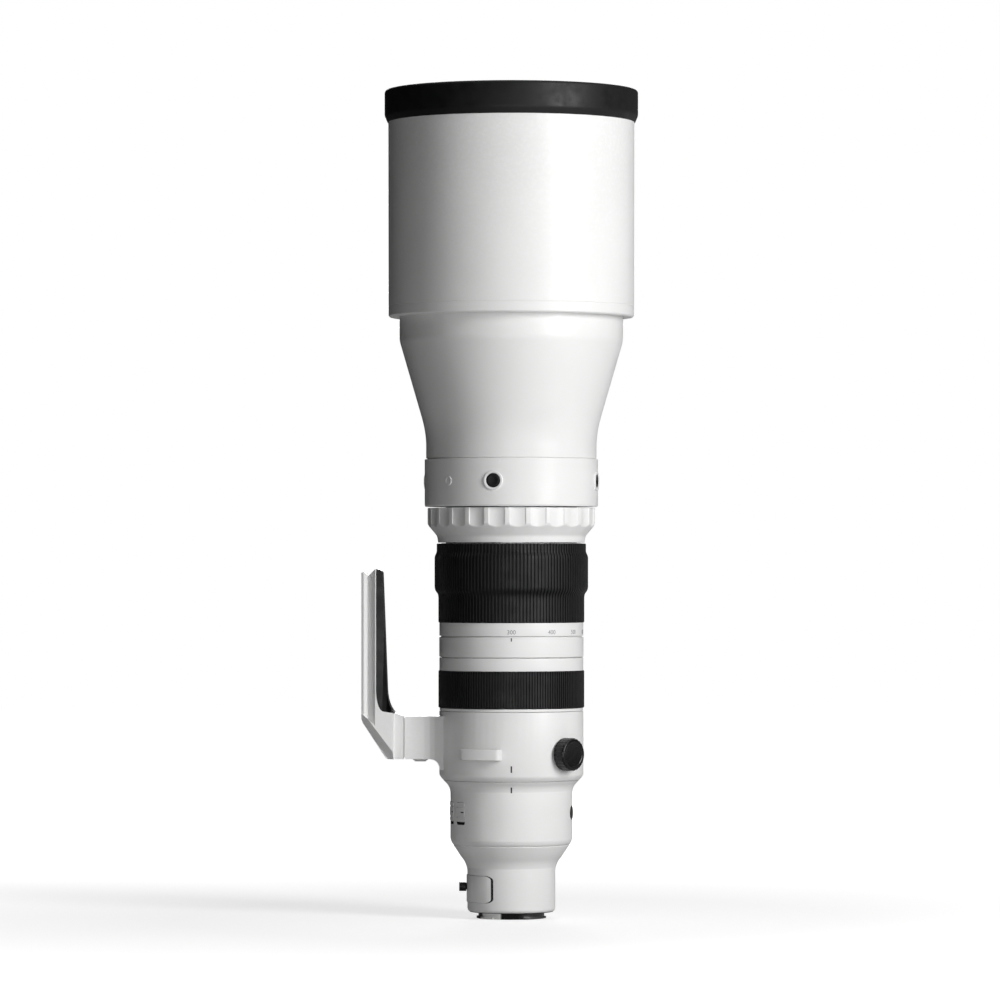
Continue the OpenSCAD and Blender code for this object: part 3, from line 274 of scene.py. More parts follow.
def patchy(tree, scale, color, share):
    """The color, and in soft patches that share of it."""
    return blend_colors(tree, spread(tree, noise(tree, scale, 3), 0.35, 0.65, 0, 1),
                        color, times(color, share))


def uneven(tree, shader, value, low, high):
    """Roughness between low and high, set by the middle of a noise's range."""
    feed(tree, spread(tree, value, 0.3, 0.7, low, high), shader.inputs["Roughness"])


def bump(tree, shader, heights, depth_mm):
    """Bump from one or more (height, share) pairs, depth in millimetres."""
    total = None
    for height, share in heights:
        part = product(tree, height, share)
        total = part if total is None else calculate(tree, "ADD", total, part)
    node = tree.nodes.new("ShaderNodeBump")
    node.inputs["Strength"].default_value = 1.0
    node.inputs["Distance"].default_value = depth_mm * MM
    tree.links.new(total, node.inputs["Height"])
    tree.links.new(node.outputs["Normal"], shader.inputs["Normal"])


def painted_edge_highlight(tree, amount):
    """Mask of a painted edge highlight: up to amount on convex edges, 0 elsewhere, broken up by
    noise.
    """
    geometry = tree.nodes.new("ShaderNodeNewGeometry")
    return product(tree, spread(tree, geometry.outputs["Pointiness"], 0.52, 0.58, 0, amount),
                   spread(tree, noise(tree, 350, 4), 0.45, 0.65, 0, 1))


# Materials
def principled(name, color, rough, metal=0.0, coat=0.0, coat_rough=0.1, specular=0.5):
    material = bpy.data.materials.new(name)
    tree, nodes, links = tree_of(material)
    out = nodes.new("ShaderNodeOutputMaterial")
    shader = nodes.new("ShaderNodeBsdfPrincipled")
    for socket, value in (("Base Color", color), ("Roughness", rough), ("Metallic", metal),
                          ("Coat Weight", coat), ("Coat Roughness", coat_rough),
                          ("Specular IOR Level", specular)):
        feed(tree, value, shader.inputs[socket])
    links.new(shader.outputs[0], out.inputs["Surface"])
    return material, tree, shader


def paint(name, color, rough, grain=1400, depth=0.012):
    """Satin stoved paint: fine orange peel, faint tone and gloss changes, and a painted highlight
    that makes edges a little lighter.
    """
    material, tree, shader = principled(name, color, rough, specular=0.3)
    tone = patchy(tree, 14, color, 0.965)
    # Convex edges are made lighter: a painted edge highlight
    edge_highlight_color = tuple(min(1, c) for c in times(color, 1.08))
    feed(tree, blend_colors(tree, painted_edge_highlight(tree, 0.35), tone, edge_highlight_color),
         shader.inputs["Base Color"])
    uneven(tree, shader, noise(tree, 90, 3), rough - 0.05, rough + 0.07)
    bump(tree, shader, [(noise(tree, grain, 2), 1.0), (noise(tree, grain * 3, 1), 0.4)], depth)
    return material


def moulded_rubber(name, color=(0.005, 0.005, 0.0053), rough=0.5):
    """Black grip rubber with a fine mould texture, and a painted highlight that makes its edges
    slightly lighter.
    """
    material, tree, shader = principled(name, color, rough, specular=0.26)
    # Lighter convex edges: a painted edge highlight
    tone = blend_colors(tree, painted_edge_highlight(tree, 0.4), color, (0.011, 0.011, 0.0115))
    feed(tree, tone, shader.inputs["Base Color"])
    uneven(tree, shader, noise(tree, 120, 3), rough - 0.08, rough + 0.1)
    bump(tree, shader, [(noise(tree, 2600, 3), 1.0)], 0.02)
    return material


def gloss_black(name, rough=0.24):
    """Black moulded knob: smooth, with faint flow marks."""
    color = (0.003, 0.003, 0.0033)
    material, tree, shader = principled(name, color, rough, specular=0.35)
    # Convex edges are lighter: a painted rim highlight
    tone = blend_colors(tree, painted_edge_highlight(tree, 0.6), color, (0.03, 0.03, 0.031))
    feed(tree, tone, shader.inputs["Base Color"])
    uneven(tree, shader, noise(tree, 200, 2), rough - 0.05, rough + 0.08)
    bump(tree, shader, [(noise(tree, 1800, 2), 1.0)], 0.006)
    return material


def turned_metal(name, color, rough, depth=0.01, metal=1.0):
    """Lathe-turned metal: fine rings round the axis, in bump and in roughness."""
    material, tree, shader = principled(name, color, rough, metal=metal)
    x, y, z = axes(tree)
    flat = tree.nodes.new("ShaderNodeCombineXYZ")
    feed(tree, x, flat.inputs["X"])
    feed(tree, y, flat.inputs["Y"])
    reach = tree.nodes.new("ShaderNodeVectorMath")
    reach.operation = "LENGTH"
    feed(tree, flat.outputs[0], reach.inputs[0])
    ring = tree.nodes.new("ShaderNodeCombineXYZ")
    feed(tree, reach.outputs["Value"], ring.inputs["X"])
    feed(tree, z, ring.inputs["Y"])
    lines = tree.nodes.new("ShaderNodeTexNoise")
    lines.inputs["Scale"].default_value = 4200
    lines.inputs["Detail"].default_value = 2
    feed(tree, ring.outputs[0], lines.inputs["Vector"])
    uneven(tree, shader, lines.outputs["Fac"], max(0.05, rough - 0.06), rough + 0.1)
    feed(tree, patchy(tree, 60, color, 0.9), shader.inputs["Base Color"])
    bump(tree, shader, [(lines.outputs["Fac"], 1.0)], depth)
    return material


def bayonet_metal(name):
    """Dark bayonet metal with a bright and a dimmer reflection painted into its colour by the angle
    round Z.
    """
    material, tree, shader = principled(name, (0.02, 0.02, 0.021), 0.2, metal=0.5)
    x, y, _ = axes(tree)
    angle = calculate(tree, "ARCTAN2", x, calculate(tree, "MULTIPLY", y, -1))
    # Each painted reflection begins and ends over a few hundredths or tenths of a radian
    painted_reflection = product(tree, spread(tree, angle, -1.12, -1.0, 0, 1),
                       spread(tree, angle, -0.35, -0.3, 1, 0))
    # A second, dimmer reflection is painted between 0.2 and 1.6 radians
    half = product(tree, spread(tree, angle, 0.2, 0.6, 0, 1), spread(tree, angle, 1.2, 1.6, 1, 0))
    tone = blend_colors(tree, painted_reflection, (0.004, 0.004, 0.0042), (0.95, 0.95, 0.94))
    tone = blend_colors(tree, spread(tree, half, 0, 1, 0, 0.12), tone, (0.7, 0.7, 0.71))
    feed(tree, tone, shader.inputs["Base Color"])
    uneven(tree, shader, noise(tree, 240, 3), 0.3, 0.42)
    bump(tree, shader, [(noise(tree, 900, 2, (1, 1, 8)), 1.0)], 0.002)
    return material


def coated_glass(name, tint):
    """Lens glass with a faint coating tint and a few dust specks in its gloss."""
    material, tree, shader = principled(name, tint, 0.0, coat=0.4, coat_rough=0.02)
    for socket, value in (("Transmission Weight", 1.0), ("IOR", 1.52),
                          ("Thin Film Thickness", 420), ("Thin Film IOR", 1.38)):
        shader.inputs[socket].default_value = value
    feed(tree, spread(tree, noise(tree, 700, 4), 0.66, 0.74, 0.0, 0.09),
         shader.inputs["Roughness"])
    feed(tree, blend_colors(tree, noise(tree, 9, 1), tint, times(tint, 0.93)),
         shader.inputs["Base Color"])
    return material


def board_green(name):
    color = (0.02, 0.09, 0.045)
    material, tree, shader = principled(name, color, 0.35)
    tracks = spread(tree, noise(tree, 500, 1, (1, 6, 1)), 0.49, 0.51, 0, 1)
    tone = blend_colors(tree, tracks, color, (0.03, 0.14, 0.07))
    feed(tree, tone, shader.inputs["Base Color"])
    bump(tree, shader, [(tracks, 1.0)], 0.02)
    return material


def ink(name, color):
    """Printed or engraved-and-filled mark."""
    material, tree, shader = principled(name, color, 0.6)
    paler = tuple(c * 1.5 + 0.01 for c in color)
    feed(tree, blend_colors(tree, noise(tree, 2500, 2), color, paler),
         shader.inputs["Base Color"])
    bump(tree, shader, [(noise(tree, 3000, 1), 1.0)], 0.004)
    return material


# Outlines, in millimetres
def turns(count):
    """Equal steps round the axis, in degrees."""
    return [360 * k / count for k in range(count)]


def polar(reach, degrees):
    """X and Y of a point at that reach from the axis and that angle round it."""
    a = math.radians(degrees)
    return reach * math.sin(a), -reach * math.cos(a)


def circle(r, count=SMALL_STEPS):
    return [(r * math.cos(math.tau * k / count), r * math.sin(math.tau * k / count))
            for k in range(count)]


def round_rectangle(width, height, corner, steps=6):
    """Closed (x, y) outline of a rectangle with round corners."""
    points = []
    for sx, sy, start in ((1, 1, 0), (-1, 1, 90), (-1, -1, 180), (1, -1, 270)):
        for k in range(steps + 1):
            a = math.radians(start + 90 * k / steps)
            points.append((sx * (width / 2 - corner) + corner * math.cos(a),
                           sy * (height / 2 - corner) + corner * math.sin(a)))
    return points


def rounded(corners, steps=4):
    """Closed outline of (r, z) points from corners (r, z, size of the rounding)."""
    points = []
    for i, (r, z, size) in enumerate(corners):
        corner = Vector((r, z))
        if size == 0:
            points.append(corner)
            continue
        before = Vector(corners[i - 1][:2]) - corner
        after = Vector(corners[(i + 1) % len(corners)][:2]) - corner
        reach = min(size, before.length * 0.49, after.length * 0.49)
        start = corner + before.normalized() * reach
        end = corner + after.normalized() * reach
        for k in range(steps + 1):
            s = k / steps
            points.append(start * (1 - s) ** 2 + corner * 2 * s * (1 - s) + end * s ** 2)
    return points


def curve(start, control, end, steps=12):
    """Quadratic curve from start to end, both included, as (r, z, 0) corners."""
    points = []
    for k in range(steps + 1):
        s = k / steps
        r, z = (a * (1 - s) ** 2 + b * 2 * s * (1 - s) + c * s * s
                for a, b, c in zip(start, control, end))
        points.append((r, z, 0))
    return points


# Mesh helpers, in millimetres until finish_mesh
def turned_bmesh(outline, angles=None, shape=None, material_at=None):
    """Ring turned round Z from a closed outline of (r, z) points.

    angles are the steps round the axis in degrees, shape(angle, r, z) gives a changed radius and
    material_at(r, z) the material number of a face, from the middle of its outline segment."""
    angles = angles or turns(STEPS)
    bm = bmesh.new()
    rings = []
    for r, z in outline:
        if r < 1e-6:
            rings.append([bm.verts.new((0, 0, z))] * len(angles))
            continue
        rings.append([bm.verts.new((*polar(shape(angle, r, z) if shape else r, angle), z))
                      for angle in angles])
    for i, ring in enumerate(rings):
        after = rings[(i + 1) % len(rings)]
        middle = (Vector(outline[i]) + Vector(outline[(i + 1) % len(rings)])) / 2
        number = material_at(*middle) if material_at else 0
        for k in range(len(angles)):
            j = (k + 1) % len(angles)
            corners = []
            for vert in (ring[k], ring[j], after[j], after[k]):
                if vert not in corners:
                    corners.append(vert)
            if len(corners) > 2:
                bm.faces.new(corners).material_index = number
    return bm


def prism_bmesh(outline, low, high):
    """Straight prism over a closed outline of (x, y) points, from low to high along Z."""
    bm = bmesh.new()
    bottom = [bm.verts.new((x, y, low)) for x, y in outline]
    top = [bm.verts.new((x, y, high)) for x, y in outline]
    bm.faces.new(list(reversed(bottom)))
    bm.faces.new(top)
    for k in range(len(outline)):
        j = (k + 1) % len(outline)
        bm.faces.new((bottom[k], bottom[j], top[j], top[k]))
    return bm


def side_frame(angle, reach, z):
    """Place on the side of the barrel: local Z points outward and local Y up the axis."""
    a = math.radians(angle)
    out = Vector((math.sin(a), -math.cos(a), 0))
    up = Vector((0, 0, 1))
    matrix = Matrix((up.cross(out), up, out)).transposed().to_4x4()
    matrix.translation = out * reach + up * z
    return matrix


def place(bm, matrix):
    bmesh.ops.transform(bm, matrix=matrix, verts=bm.verts)
    return bm


def joined(*parts):
    """One bmesh that holds all the given ones."""
    bm = bmesh.new()
    for part in parts:
        mesh = bpy.data.meshes.new("part")
        part.to_mesh(mesh)
        part.free()
        bm.from_mesh(mesh)
        bpy.data.meshes.remove(mesh)
    return bm


def finish_mesh(name, bm, sharp=35):
    bmesh.ops.recalc_face_normals(bm, faces=bm.faces)
    bmesh.ops.scale(bm, vec=(MM, MM, MM), verts=bm.verts)
    mesh = bpy.data.meshes.new(name)
    bm.to_mesh(mesh)
    bm.free()
    for polygon in mesh.polygons:
        polygon.use_smooth = True
    mesh.set_sharp_from_angle(angle=math.radians(sharp))
    return add_to_scene(name, mesh)


def cut(obj, cutters, number=0):
    """Takes the cutters' shapes out of obj; the cut faces get that material number."""
    for cutter in cutters:
        for polygon in cutter.data.polygons:
            polygon.material_index = number
        modifier = obj.modifiers.new("cut", "BOOLEAN")
        modifier.operation = "DIFFERENCE"
        modifier.solver = "EXACT"
        modifier.object = cutter
    graph = bpy.context.evaluated_depsgraph_get()
    mesh = bpy.data.meshes.new_from_object(obj.evaluated_get(graph))
    obj.modifiers.clear()
    old = obj.data
    obj.data = mesh
    bpy.data.meshes.remove(old)
    for cutter in cutters:
        bpy.data.objects.remove(cutter)
    round_normals(mesh)


def round_normals(mesh):
    """Gives faces on cylinders round Z their true radial normals, so that cuts leave no smears."""
    normals = [Vector(corner.vector) for corner in mesh.corner_normals]
    for polygon in mesh.polygons:
        centre = polygon.center
        out = Vector((centre.x, centre.y, 0)).normalized()
        facing = polygon.normal.dot(out)
        if abs(facing) < 0.98:
            continue
        for loop in polygon.loop_indices:
            co = mesh.vertices[mesh.loops[loop].vertex_index].co
            normals[loop] = Vector((co.x, co.y, 0)).normalized() * (1 if facing > 0 else -1)
    mesh.normals_split_custom_set(normals)


def soften(obj, width, segments=2):
    """Small round-over on every edge sharper than 30 degrees."""
    weld = obj.modifiers.new("weld", "WELD")
    weld.merge_threshold = 2e-6
    bevel = obj.modifiers.new("edges", "BEVEL")
    bevel.width = width * MM
    bevel.segments = segments
    bevel.limit_method = "ANGLE"
    bevel.angle_limit = math.radians(30)
    bevel.use_clamp_overlap = True
    bevel.harden_normals = True


def dress(obj, body, slot, materials, *replaced):
    """Gives a piece its materials, its body and the nodes it stands for. Its slot is not used."""
    for material in materials if isinstance(materials, list) else [materials]:
        obj.data.materials.append(material)
    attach(obj, body)
    if replaced:
        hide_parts(*replaced)


# Sizes shared with the frame: R is a radius, REACH how far out, Z, TOP and SEAM are heights
WALL = 3
REAR_R = 32.85
DOOR_SIZE = (2 * 29.77, 19.9)
DOOR_CORNER = 3
DOOR_GAP = 0.2
DOOR_Z = 17.55
SEAM_R = 42.9
SEAM_Z = 50
SEAM_V = 0.35
BODY_R = 45.6
BODY_WAIST_Z = 56.2
BODY_TOP = 98.2
BODY_FLARE = ((BODY_R, 89), (BODY_R + 0.4, 93.5), (48.6, BODY_TOP - 2.2))
TUBE_R = 49
TUBE_IN_R = 46
RING_IN_R = TUBE_R + 0.1
THIN_R = 53.54
THIN_Z = 150.2
THIN_TOP = 152.2
FOCUS_Z = 152.5
FOCUS_GRIP_TOP = 180.2
FOCUS_TOP = 189.8
INDEX_Z = 190.1
INDEX_TOP = 205.8
ZOOM_Z = 206.1
ZOOM_GRIP_Z = 216
ZOOM_GRIP_TOP = 274.9
ZOOM_TOP = 275.2
SCALE_Z = 207.7
SLEEVE_R = 53.8
INDEX_R = SLEEVE_R + 0.1
COLLAR_R = 53.84
FUNCTION_Z = 275.7
FUNCTION_TOP = 301.5
BAND_R = 64.8
BAND_Z = 302.4
BAND_TOP = 337.8
FRONT_R = 83.55
BELL_R = 63.7
BELL_TOP = 426.4
FRONT_Z = 467.4
HOOD_R = 91.75
HOOD_FRONT_R = 92
HOOD_WALL = 2.6
HOOD_Z = 444
HOOD_SEAM = 452.3
HOOD_SHELL_TOP = 611.1
HOOD_TOP = 613.5
BUMPER_Z = 589.6
BUMPER_R = 94.75
HOOD_SCREW_Z = 463.1
HOOD_SCREW_ANGLE = 180
HOOD_SCREW_HOLE_R = 3.1
HOOD_BOSS_R = 10
HOOD_BOSS_FACE = HOOD_R + 1.6
BUTTON_R = 5.2
BUTTON_HOLE_R = BUTTON_R + 0.1
BUTTON_RIM_R = BUTTON_R + 2
BUTTON_RIM_REACH = BAND_R - 1.4
AFL_Z = 321.3
AFL_ANGLES = (-12, 78, 168, 258)
CUSTOM_ANGLE = 80
PLUG_R = 3.4
PLUG_ANGLE = -46
PLUG_REACH = BAND_R - 0.6
SWITCH_Z = 74.1
SWITCH_ANGLES = (-56, -77, -98, -119)
SWITCH_SLOT = (10.5, 16.8)
SWITCH_CORNER = 1.6
SWITCH_TOP = 45.75
LUG_Z = 114.4
LUG_HEIGHT = 8.3
LUG_ANGLES = (-24, 156)
STUD_PLACE = (-68, 0, 114.2)
KNOB_Z = 118.6
KNOB_ANGLE = 46.5
KNOB_R = 12.15
KNOB_FACE = 64
HOOD_KNOB_R = 9

# The scale's numbers with their angles on the zoom ring, and both ends of the index lines
SCALE = (("300", 0), ("400", 33.9), ("500", 58.9), ("600", 80.4))
BODY_INDEX = (89.9, 94.6)
COLLAR_INDEX = (105.4, 110.3)
ZOOM_INDEX = (202.4, 204.8)


def curved_patch(name, profile, width, proud=0.04, sink=0.25, columns=8):
    """Thin plate at the front, that wide, on the surface turned from the (r, z) points."""
    loop = [(r + proud, z) for r, z in profile] + [(r - sink, z) for r, z in reversed(profile)]
    half = math.degrees(width / 2 / profile[0][0])
    bm = bmesh.new()
    grid = []
    for k in range(columns + 1):
        angle = -half + 2 * half * k / columns
        grid.append([bm.verts.new((*polar(r, angle), z)) for r, z in loop])
    for k in range(columns):
        for i in range(len(loop)):
            j = (i + 1) % len(loop)
            bm.faces.new((grid[k][i], grid[k][j], grid[k + 1][j], grid[k + 1][i]))
    bm.faces.new(grid[0])
    bm.faces.new(list(reversed(grid[-1])))
    return finish_mesh(name, bm)


def curved_number(text, angle, reach, z, height):
    """A number that lies on a cylinder of that reach, read with the front up, standing at z."""
    name = "scale_" + text
    data = bpy.data.curves.new(name, "FONT")
    data.body = text
    data.align_x = "CENTER"
    # A digit is 0.7 of the font's size high
    data.size = height / 0.7
    data.extrude = 0.05
    flat = add_to_scene(name + "_flat", data)
    graph = bpy.context.evaluated_depsgraph_get()
    mesh = bpy.data.meshes.new_from_object(flat.evaluated_get(graph))
    bpy.data.objects.remove(flat)
    for vert in mesh.vertices:
        a = math.radians(angle) + vert.co.x / reach
        r = reach - 0.01 + vert.co.z
        vert.co = Vector((r * math.sin(a), -r * math.cos(a), z + vert.co.y)) * MM
    return add_to_scene(name, mesh)


# Rear casing with the filter door's window, and body casing
def make_rear_casing(finish, dark):
    inner = REAR_R - WALL
    foot_z, floor_z, floor_top = 0.3, 2.4, 5.2
    seat_r, mouth_r = 30.5, 24.5
    neck_z, shoulder_z, shoulder_r = 30.1, 40.9, 37.5
    outline = rounded(
        [(seat_r, foot_z, 0), (REAR_R - 1.4, foot_z, 0.25), (REAR_R - 0.4, foot_z + 1, 0.5),
         (REAR_R, foot_z + 2.4, 0.6)]
        + curve((REAR_R, neck_z), (REAR_R + 0.3, 36), (shoulder_r, shoulder_z))
        + [(SEAM_R + SEAM_V, SEAM_Z - SEAM_V, 0.3), (SEAM_R, SEAM_Z, 0), (SEAM_R - WALL, SEAM_Z, 0),
           (shoulder_r - WALL, shoulder_z, 2), (inner, neck_z, 2), (inner, floor_top, 0),
           (mouth_r, floor_top, 0), (mouth_r, floor_z, 0), (seat_r, floor_z, 0)])
    casing = finish_mesh("rear_shell", turned_bmesh(outline))
    window = round_rectangle(*(side + 2 * DOOR_GAP for side in DOOR_SIZE), DOOR_CORNER + DOOR_GAP)
    to_left = Matrix(((0, 0, -1, 0), (1, 0, 0, 0), (0, 1, 0, DOOR_Z), (0, 0, 0, 1)))
    cut(casing, [finish_mesh("window", place(prism_bmesh(window, 0, 2 * REAR_R), to_left))], 1)
    dress(casing, "barrel", "white_paint", [finish, dark], "rear_casing")


def make_body_casing(finish, dark):
    inner = BODY_R - WALL
    flange_r = TUBE_IN_R - 1
    outline = rounded(
        [(SEAM_R - WALL, SEAM_Z, 0), (SEAM_R, SEAM_Z, 0), (SEAM_R + 2 * SEAM_V, SEAM_Z + SEAM_V, 0)]
        + curve((44.4, 51.6), (BODY_R, 53.8), (BODY_R, BODY_WAIST_Z)) + curve(*BODY_FLARE)
        + [(50.7, BODY_TOP, 0.3), (flange_r, BODY_TOP, 0), (flange_r, BODY_TOP - 3.6, 0),
           (inner + 1, BODY_TOP - 6.2, 1), (inner, BODY_WAIST_Z, 1)])
    casing = finish_mesh("body_shell", turned_bmesh(outline))
    start, length = inner - 3, 8
    cutters = []
    for i, angle in enumerate(SWITCH_ANGLES):
        slot = prism_bmesh(round_rectangle(*SWITCH_SLOT, SWITCH_CORNER), 0, length)
        cutters.append(finish_mesh("slot_%d" % i, place(slot, side_frame(angle, start, SWITCH_Z))))
    hole = prism_bmesh(circle(BUTTON_HOLE_R), 0, length)
    cutters.append(finish_mesh("hole", place(hole, side_frame(CUSTOM_ANGLE, start, SWITCH_Z))))
    cut(casing, cutters, 1)
    dress(casing, "barrel", "white_paint", [finish, dark], "body_casing")


def make_switch_beds(finish):
    """Dark tray under each slide switch, so that its slot shows no circuit board."""
    bed = round_rectangle(*(side + 2.3 for side in SWITCH_SLOT), SWITCH_CORNER)
    beds = [place(prism_bmesh(bed, -0.5, 0.1), side_frame(angle, BODY_R - WALL - 0.6, SWITCH_Z))
            for angle in SWITCH_ANGLES]
    dress(finish_mesh("switch_beds", joined(*beds)), "barrel", "black_metal", finish)


# Ribbed grips and rings. RIB_STEPS is one groove and one rib: share of the pitch, of the depth
FOCUS_RIBS = 160
ZOOM_RIBS = 130
RIB_STEPS = ((0, 1), (0.34, 1), (0.42, 0.12), (0.5, 0), (0.84, 0), (0.92, 0.12))
RIB_DEPTH = 0.9
GRIP_CORE_R = 54


def ribbed_ring(name, outline, ribs):
    """Ring with straight ribs along the axis: grooves in all that lies outside the grip's core."""
    angles = [360 * (i + share) / ribs for i in range(ribs) for share, _ in RIB_STEPS]
    low = {round(angle, 6): RIB_STEPS[k % len(RIB_STEPS)][1] for k, angle in enumerate(angles)}

    def groove(angle, r, z):
        return r - RIB_DEPTH * low[round(angle, 6)] if r > GRIP_CORE_R else r

    return finish_mesh(name, turned_bmesh(rounded(outline), angles, groove), 28)


def make_focus_ring(white, rubber):
    sleeve, crest = 52.3, 54.5
    ring = finish_mesh("focus_sleeve", turned_bmesh(rounded([
        (RING_IN_R, FOCUS_Z, 0), (sleeve, FOCUS_Z, 0), (sleeve, FOCUS_GRIP_TOP, 0),
        (SLEEVE_R, FOCUS_GRIP_TOP, 0.2), (SLEEVE_R, FOCUS_TOP, 0.35), (RING_IN_R, FOCUS_TOP, 0)])))
    dress(ring, "focus_ring", "white_paint", white, "focus_ring")
    grip = ribbed_ring("focus_rubber", [
        (sleeve, FOCUS_Z, 0), (crest - 0.4, FOCUS_Z, 0), (crest, FOCUS_Z + 0.5, 0),
        (crest, FOCUS_GRIP_TOP - 0.5, 0), (crest - 0.4, FOCUS_GRIP_TOP, 0),
        (sleeve, FOCUS_GRIP_TOP, 0)], FOCUS_RIBS)
    dress(grip, "focus_ring", "rubber", rubber, "focus_grip")


def make_zoom_ring(white, rubber):
    sleeve, low_crest, crest, front_crest = 52.35, 54.55, 57.4, 55.8
    ring = finish_mesh("zoom_sleeve", turned_bmesh(rounded([
        (RING_IN_R, ZOOM_Z, 0), (SLEEVE_R, ZOOM_Z, 0.35), (SLEEVE_R, ZOOM_GRIP_Z, 0.2),
        (sleeve, ZOOM_GRIP_Z, 0), (sleeve, ZOOM_TOP, 0), (RING_IN_R, ZOOM_TOP, 0)])))
    dress(ring, "zoom_ring", "white_paint", white, "zoom_ring")
    profile = ([(sleeve, ZOOM_GRIP_Z, 0), (low_crest - 0.4, ZOOM_GRIP_Z, 0),
                (low_crest, ZOOM_GRIP_Z + 0.5, 0), (low_crest, 233, 0)]
               + curve((low_crest, 234), (54.6, 237.4), (55.97, 238.6), 6)
               + curve((56.2, 239), (57.35, 240.4), (crest, 243.2), 6) + [(crest, 263, 0)]
               + curve((crest, 264.1), (57.3, 265.6), (56.6, 266.9), 5)
               + curve((56.3, 267.6), (front_crest, 268.6), (front_crest, 269.8), 4)
               + [(front_crest, ZOOM_GRIP_TOP - 0.5, 0), (front_crest - 0.4, ZOOM_GRIP_TOP, 0),
                  (sleeve, ZOOM_GRIP_TOP, 0)])
    grip = ribbed_ring("zoom_rubber", profile, ZOOM_RIBS)
    dress(grip, "zoom_ring", "rubber", rubber, "zoom_grip")


def make_plain_rings(white):
    thin = finish_mesh("collar_edge_ring", turned_bmesh(rounded([
        (TUBE_R, THIN_Z, 0), (THIN_R, THIN_Z, 0.2), (THIN_R, THIN_TOP, 0.2),
        (TUBE_R, THIN_TOP, 0)])))
    dress(thin, "barrel", "white_paint", white, "thin_ring")
    # A groove between the index ring and each of its neighbours
    index = finish_mesh("index_sleeve", turned_bmesh(rounded([
        (TUBE_R, INDEX_Z, 0), (SLEEVE_R - 1, INDEX_Z, 0), (SLEEVE_R - 1, INDEX_Z + 0.2, 0),
        (INDEX_R, INDEX_Z + 0.5, 0.2), (INDEX_R, INDEX_TOP - 0.9, 0.2),
        (SLEEVE_R - 1.2, INDEX_TOP - 0.6, 0), (SLEEVE_R - 1.2, INDEX_TOP, 0),
        (TUBE_R, INDEX_TOP, 0)])))
    dress(index, "barrel", "white_paint", white, "index_ring")


def make_marks(dark, grey):
    """Index lines and the focal length scale."""
    low, high = BODY_INDEX
    flare = [(r, z) for r, z, _ in curve(*BODY_FLARE, 24) if low < z < high]
    for name, profile, width, body in (
            ("body_index", flare, 1.1, "barrel"),
            ("collar_index", [(COLLAR_R, z) for z in COLLAR_INDEX], 1.1, "collar"),
            ("zoom_index", [(INDEX_R, z) for z in ZOOM_INDEX], 0.8, "barrel")):
        dress(curved_patch(name, profile, width), body, "knob_black", dark)
    for text, angle in SCALE:
        number = curved_number(text, angle, SLEEVE_R, SCALE_Z, 3.1)
        dress(number, "zoom_ring", "knob_black", grey)


# Function ring, control band and front barrel
def make_function_ring(finish):
    """Ring with scooped recesses round its rim, cut by cylinders that lie along it."""
    low_z, top = FUNCTION_Z, FUNCTION_TOP
    low_r, rim_r, inner = TUBE_R + 6.2, 62.6, RING_IN_R
    # Recesses: number, radius of the cutting cylinder, half width, foot's corner, first angle
    count, cutter_r, half, corner, first = 25, 21, 6.15, 3.2, 4.4
    cutter_reach = rim_r - 1.6 + cutter_r
    foot_z = top - 14.5
    outline = rounded(
        [(inner, low_z, 0), (low_r - 0.5, low_z, 0.1), (low_r, low_z + 3, 0.3)]
        + curve((low_r, low_z + 3), (low_r + 0.2, low_z + 4.6), (low_r + 1.1, low_z + 5.8), 5)
        + curve((rim_r - 1.7, low_z + 11.3), (rim_r, low_z + 13.3), (rim_r, low_z + 14.8), 16)
        + [(rim_r, top - 2.5, 0), (rim_r, top - 0.9, 0), (rim_r, top - 0.35, 0),
           (rim_r - 0.35, top, 0), (rim_r - 4, top, 0), (rim_r - 4, low_z + 16, 0),
           (inner + 3, low_z + 9, 0), (inner + 3, top - 1.5, 0), (inner, top - 1.5, 0)])
    # Steps round the ring crowd at the recess's side walls
    edge = math.degrees(half / rim_r)
    shares = [0.0, 0.25, 0.5, 0.75, 0.93, 0.985, 1.0]
    local = [-edge * s for s in reversed(shares)][:-1] + [edge * s for s in shares]
    pitch = 360 / count
    local = [-pitch / 2 + 0.001, -edge - 0.12] + local + [edge + 0.12]
    angles = [first + pitch * i + a for i in range(count) for a in local]

    def scooped(angle, r, z):
        if z < foot_z or r < rim_r - 2:
            return r
        off = math.radians((angle - first + pitch / 2) % pitch - pitch / 2)
        across = abs(rim_r * math.sin(off))
        low = min(z - foot_z, corner)
        reach_across = half - corner + math.sqrt(corner ** 2 - (corner - low) ** 2)
        side = cutter_reach * math.sin(off)
        floor = cutter_reach * math.cos(off) - math.sqrt(cutter_r ** 2 - side ** 2)
        wall = min(1, max(0, (reach_across - across) / 0.25))
        return min(r, r + (floor - r) * wall)

    ring = finish_mesh("function_rim", turned_bmesh(outline, angles, scooped), 24)
    dress(ring, "function_ring", "white_paint", finish, "function_ring")


def make_control_band(finish):
    inner = BAND_R - WALL
    band = finish_mesh("band_shell", turned_bmesh(rounded([
        (TUBE_IN_R, BAND_Z, 0), (BAND_R - 0.6, BAND_Z, 0.2), (BAND_R, BAND_Z + 1.4, 0.4),
        (BAND_R, BAND_TOP - 0.2, 0.15), (BAND_R - 0.25, BAND_TOP, 0.1), (inner, BAND_TOP, 0),
        (inner, BAND_Z + 3.4, 0), (TUBE_IN_R, BAND_Z + 3.4, 0)])))
    # A hole for each button, and round it the seat of its rim
    holes = [(angle, *hole) for angle in AFL_ANGLES
             for hole in ((BAND_R - 5, BUTTON_HOLE_R, 9), (BUTTON_RIM_REACH, BUTTON_RIM_R, 4))]
    holes.append((PLUG_ANGLE, PLUG_REACH, PLUG_R, 3))
    cut(band, [finish_mesh("hole_%d" % i, place(prism_bmesh(circle(r), 0, depth),
                                                side_frame(angle, reach, AFL_Z)))
               for i, (angle, reach, r, depth) in enumerate(holes)])
    dress(band, "barrel", "white_paint", finish, "control_band")


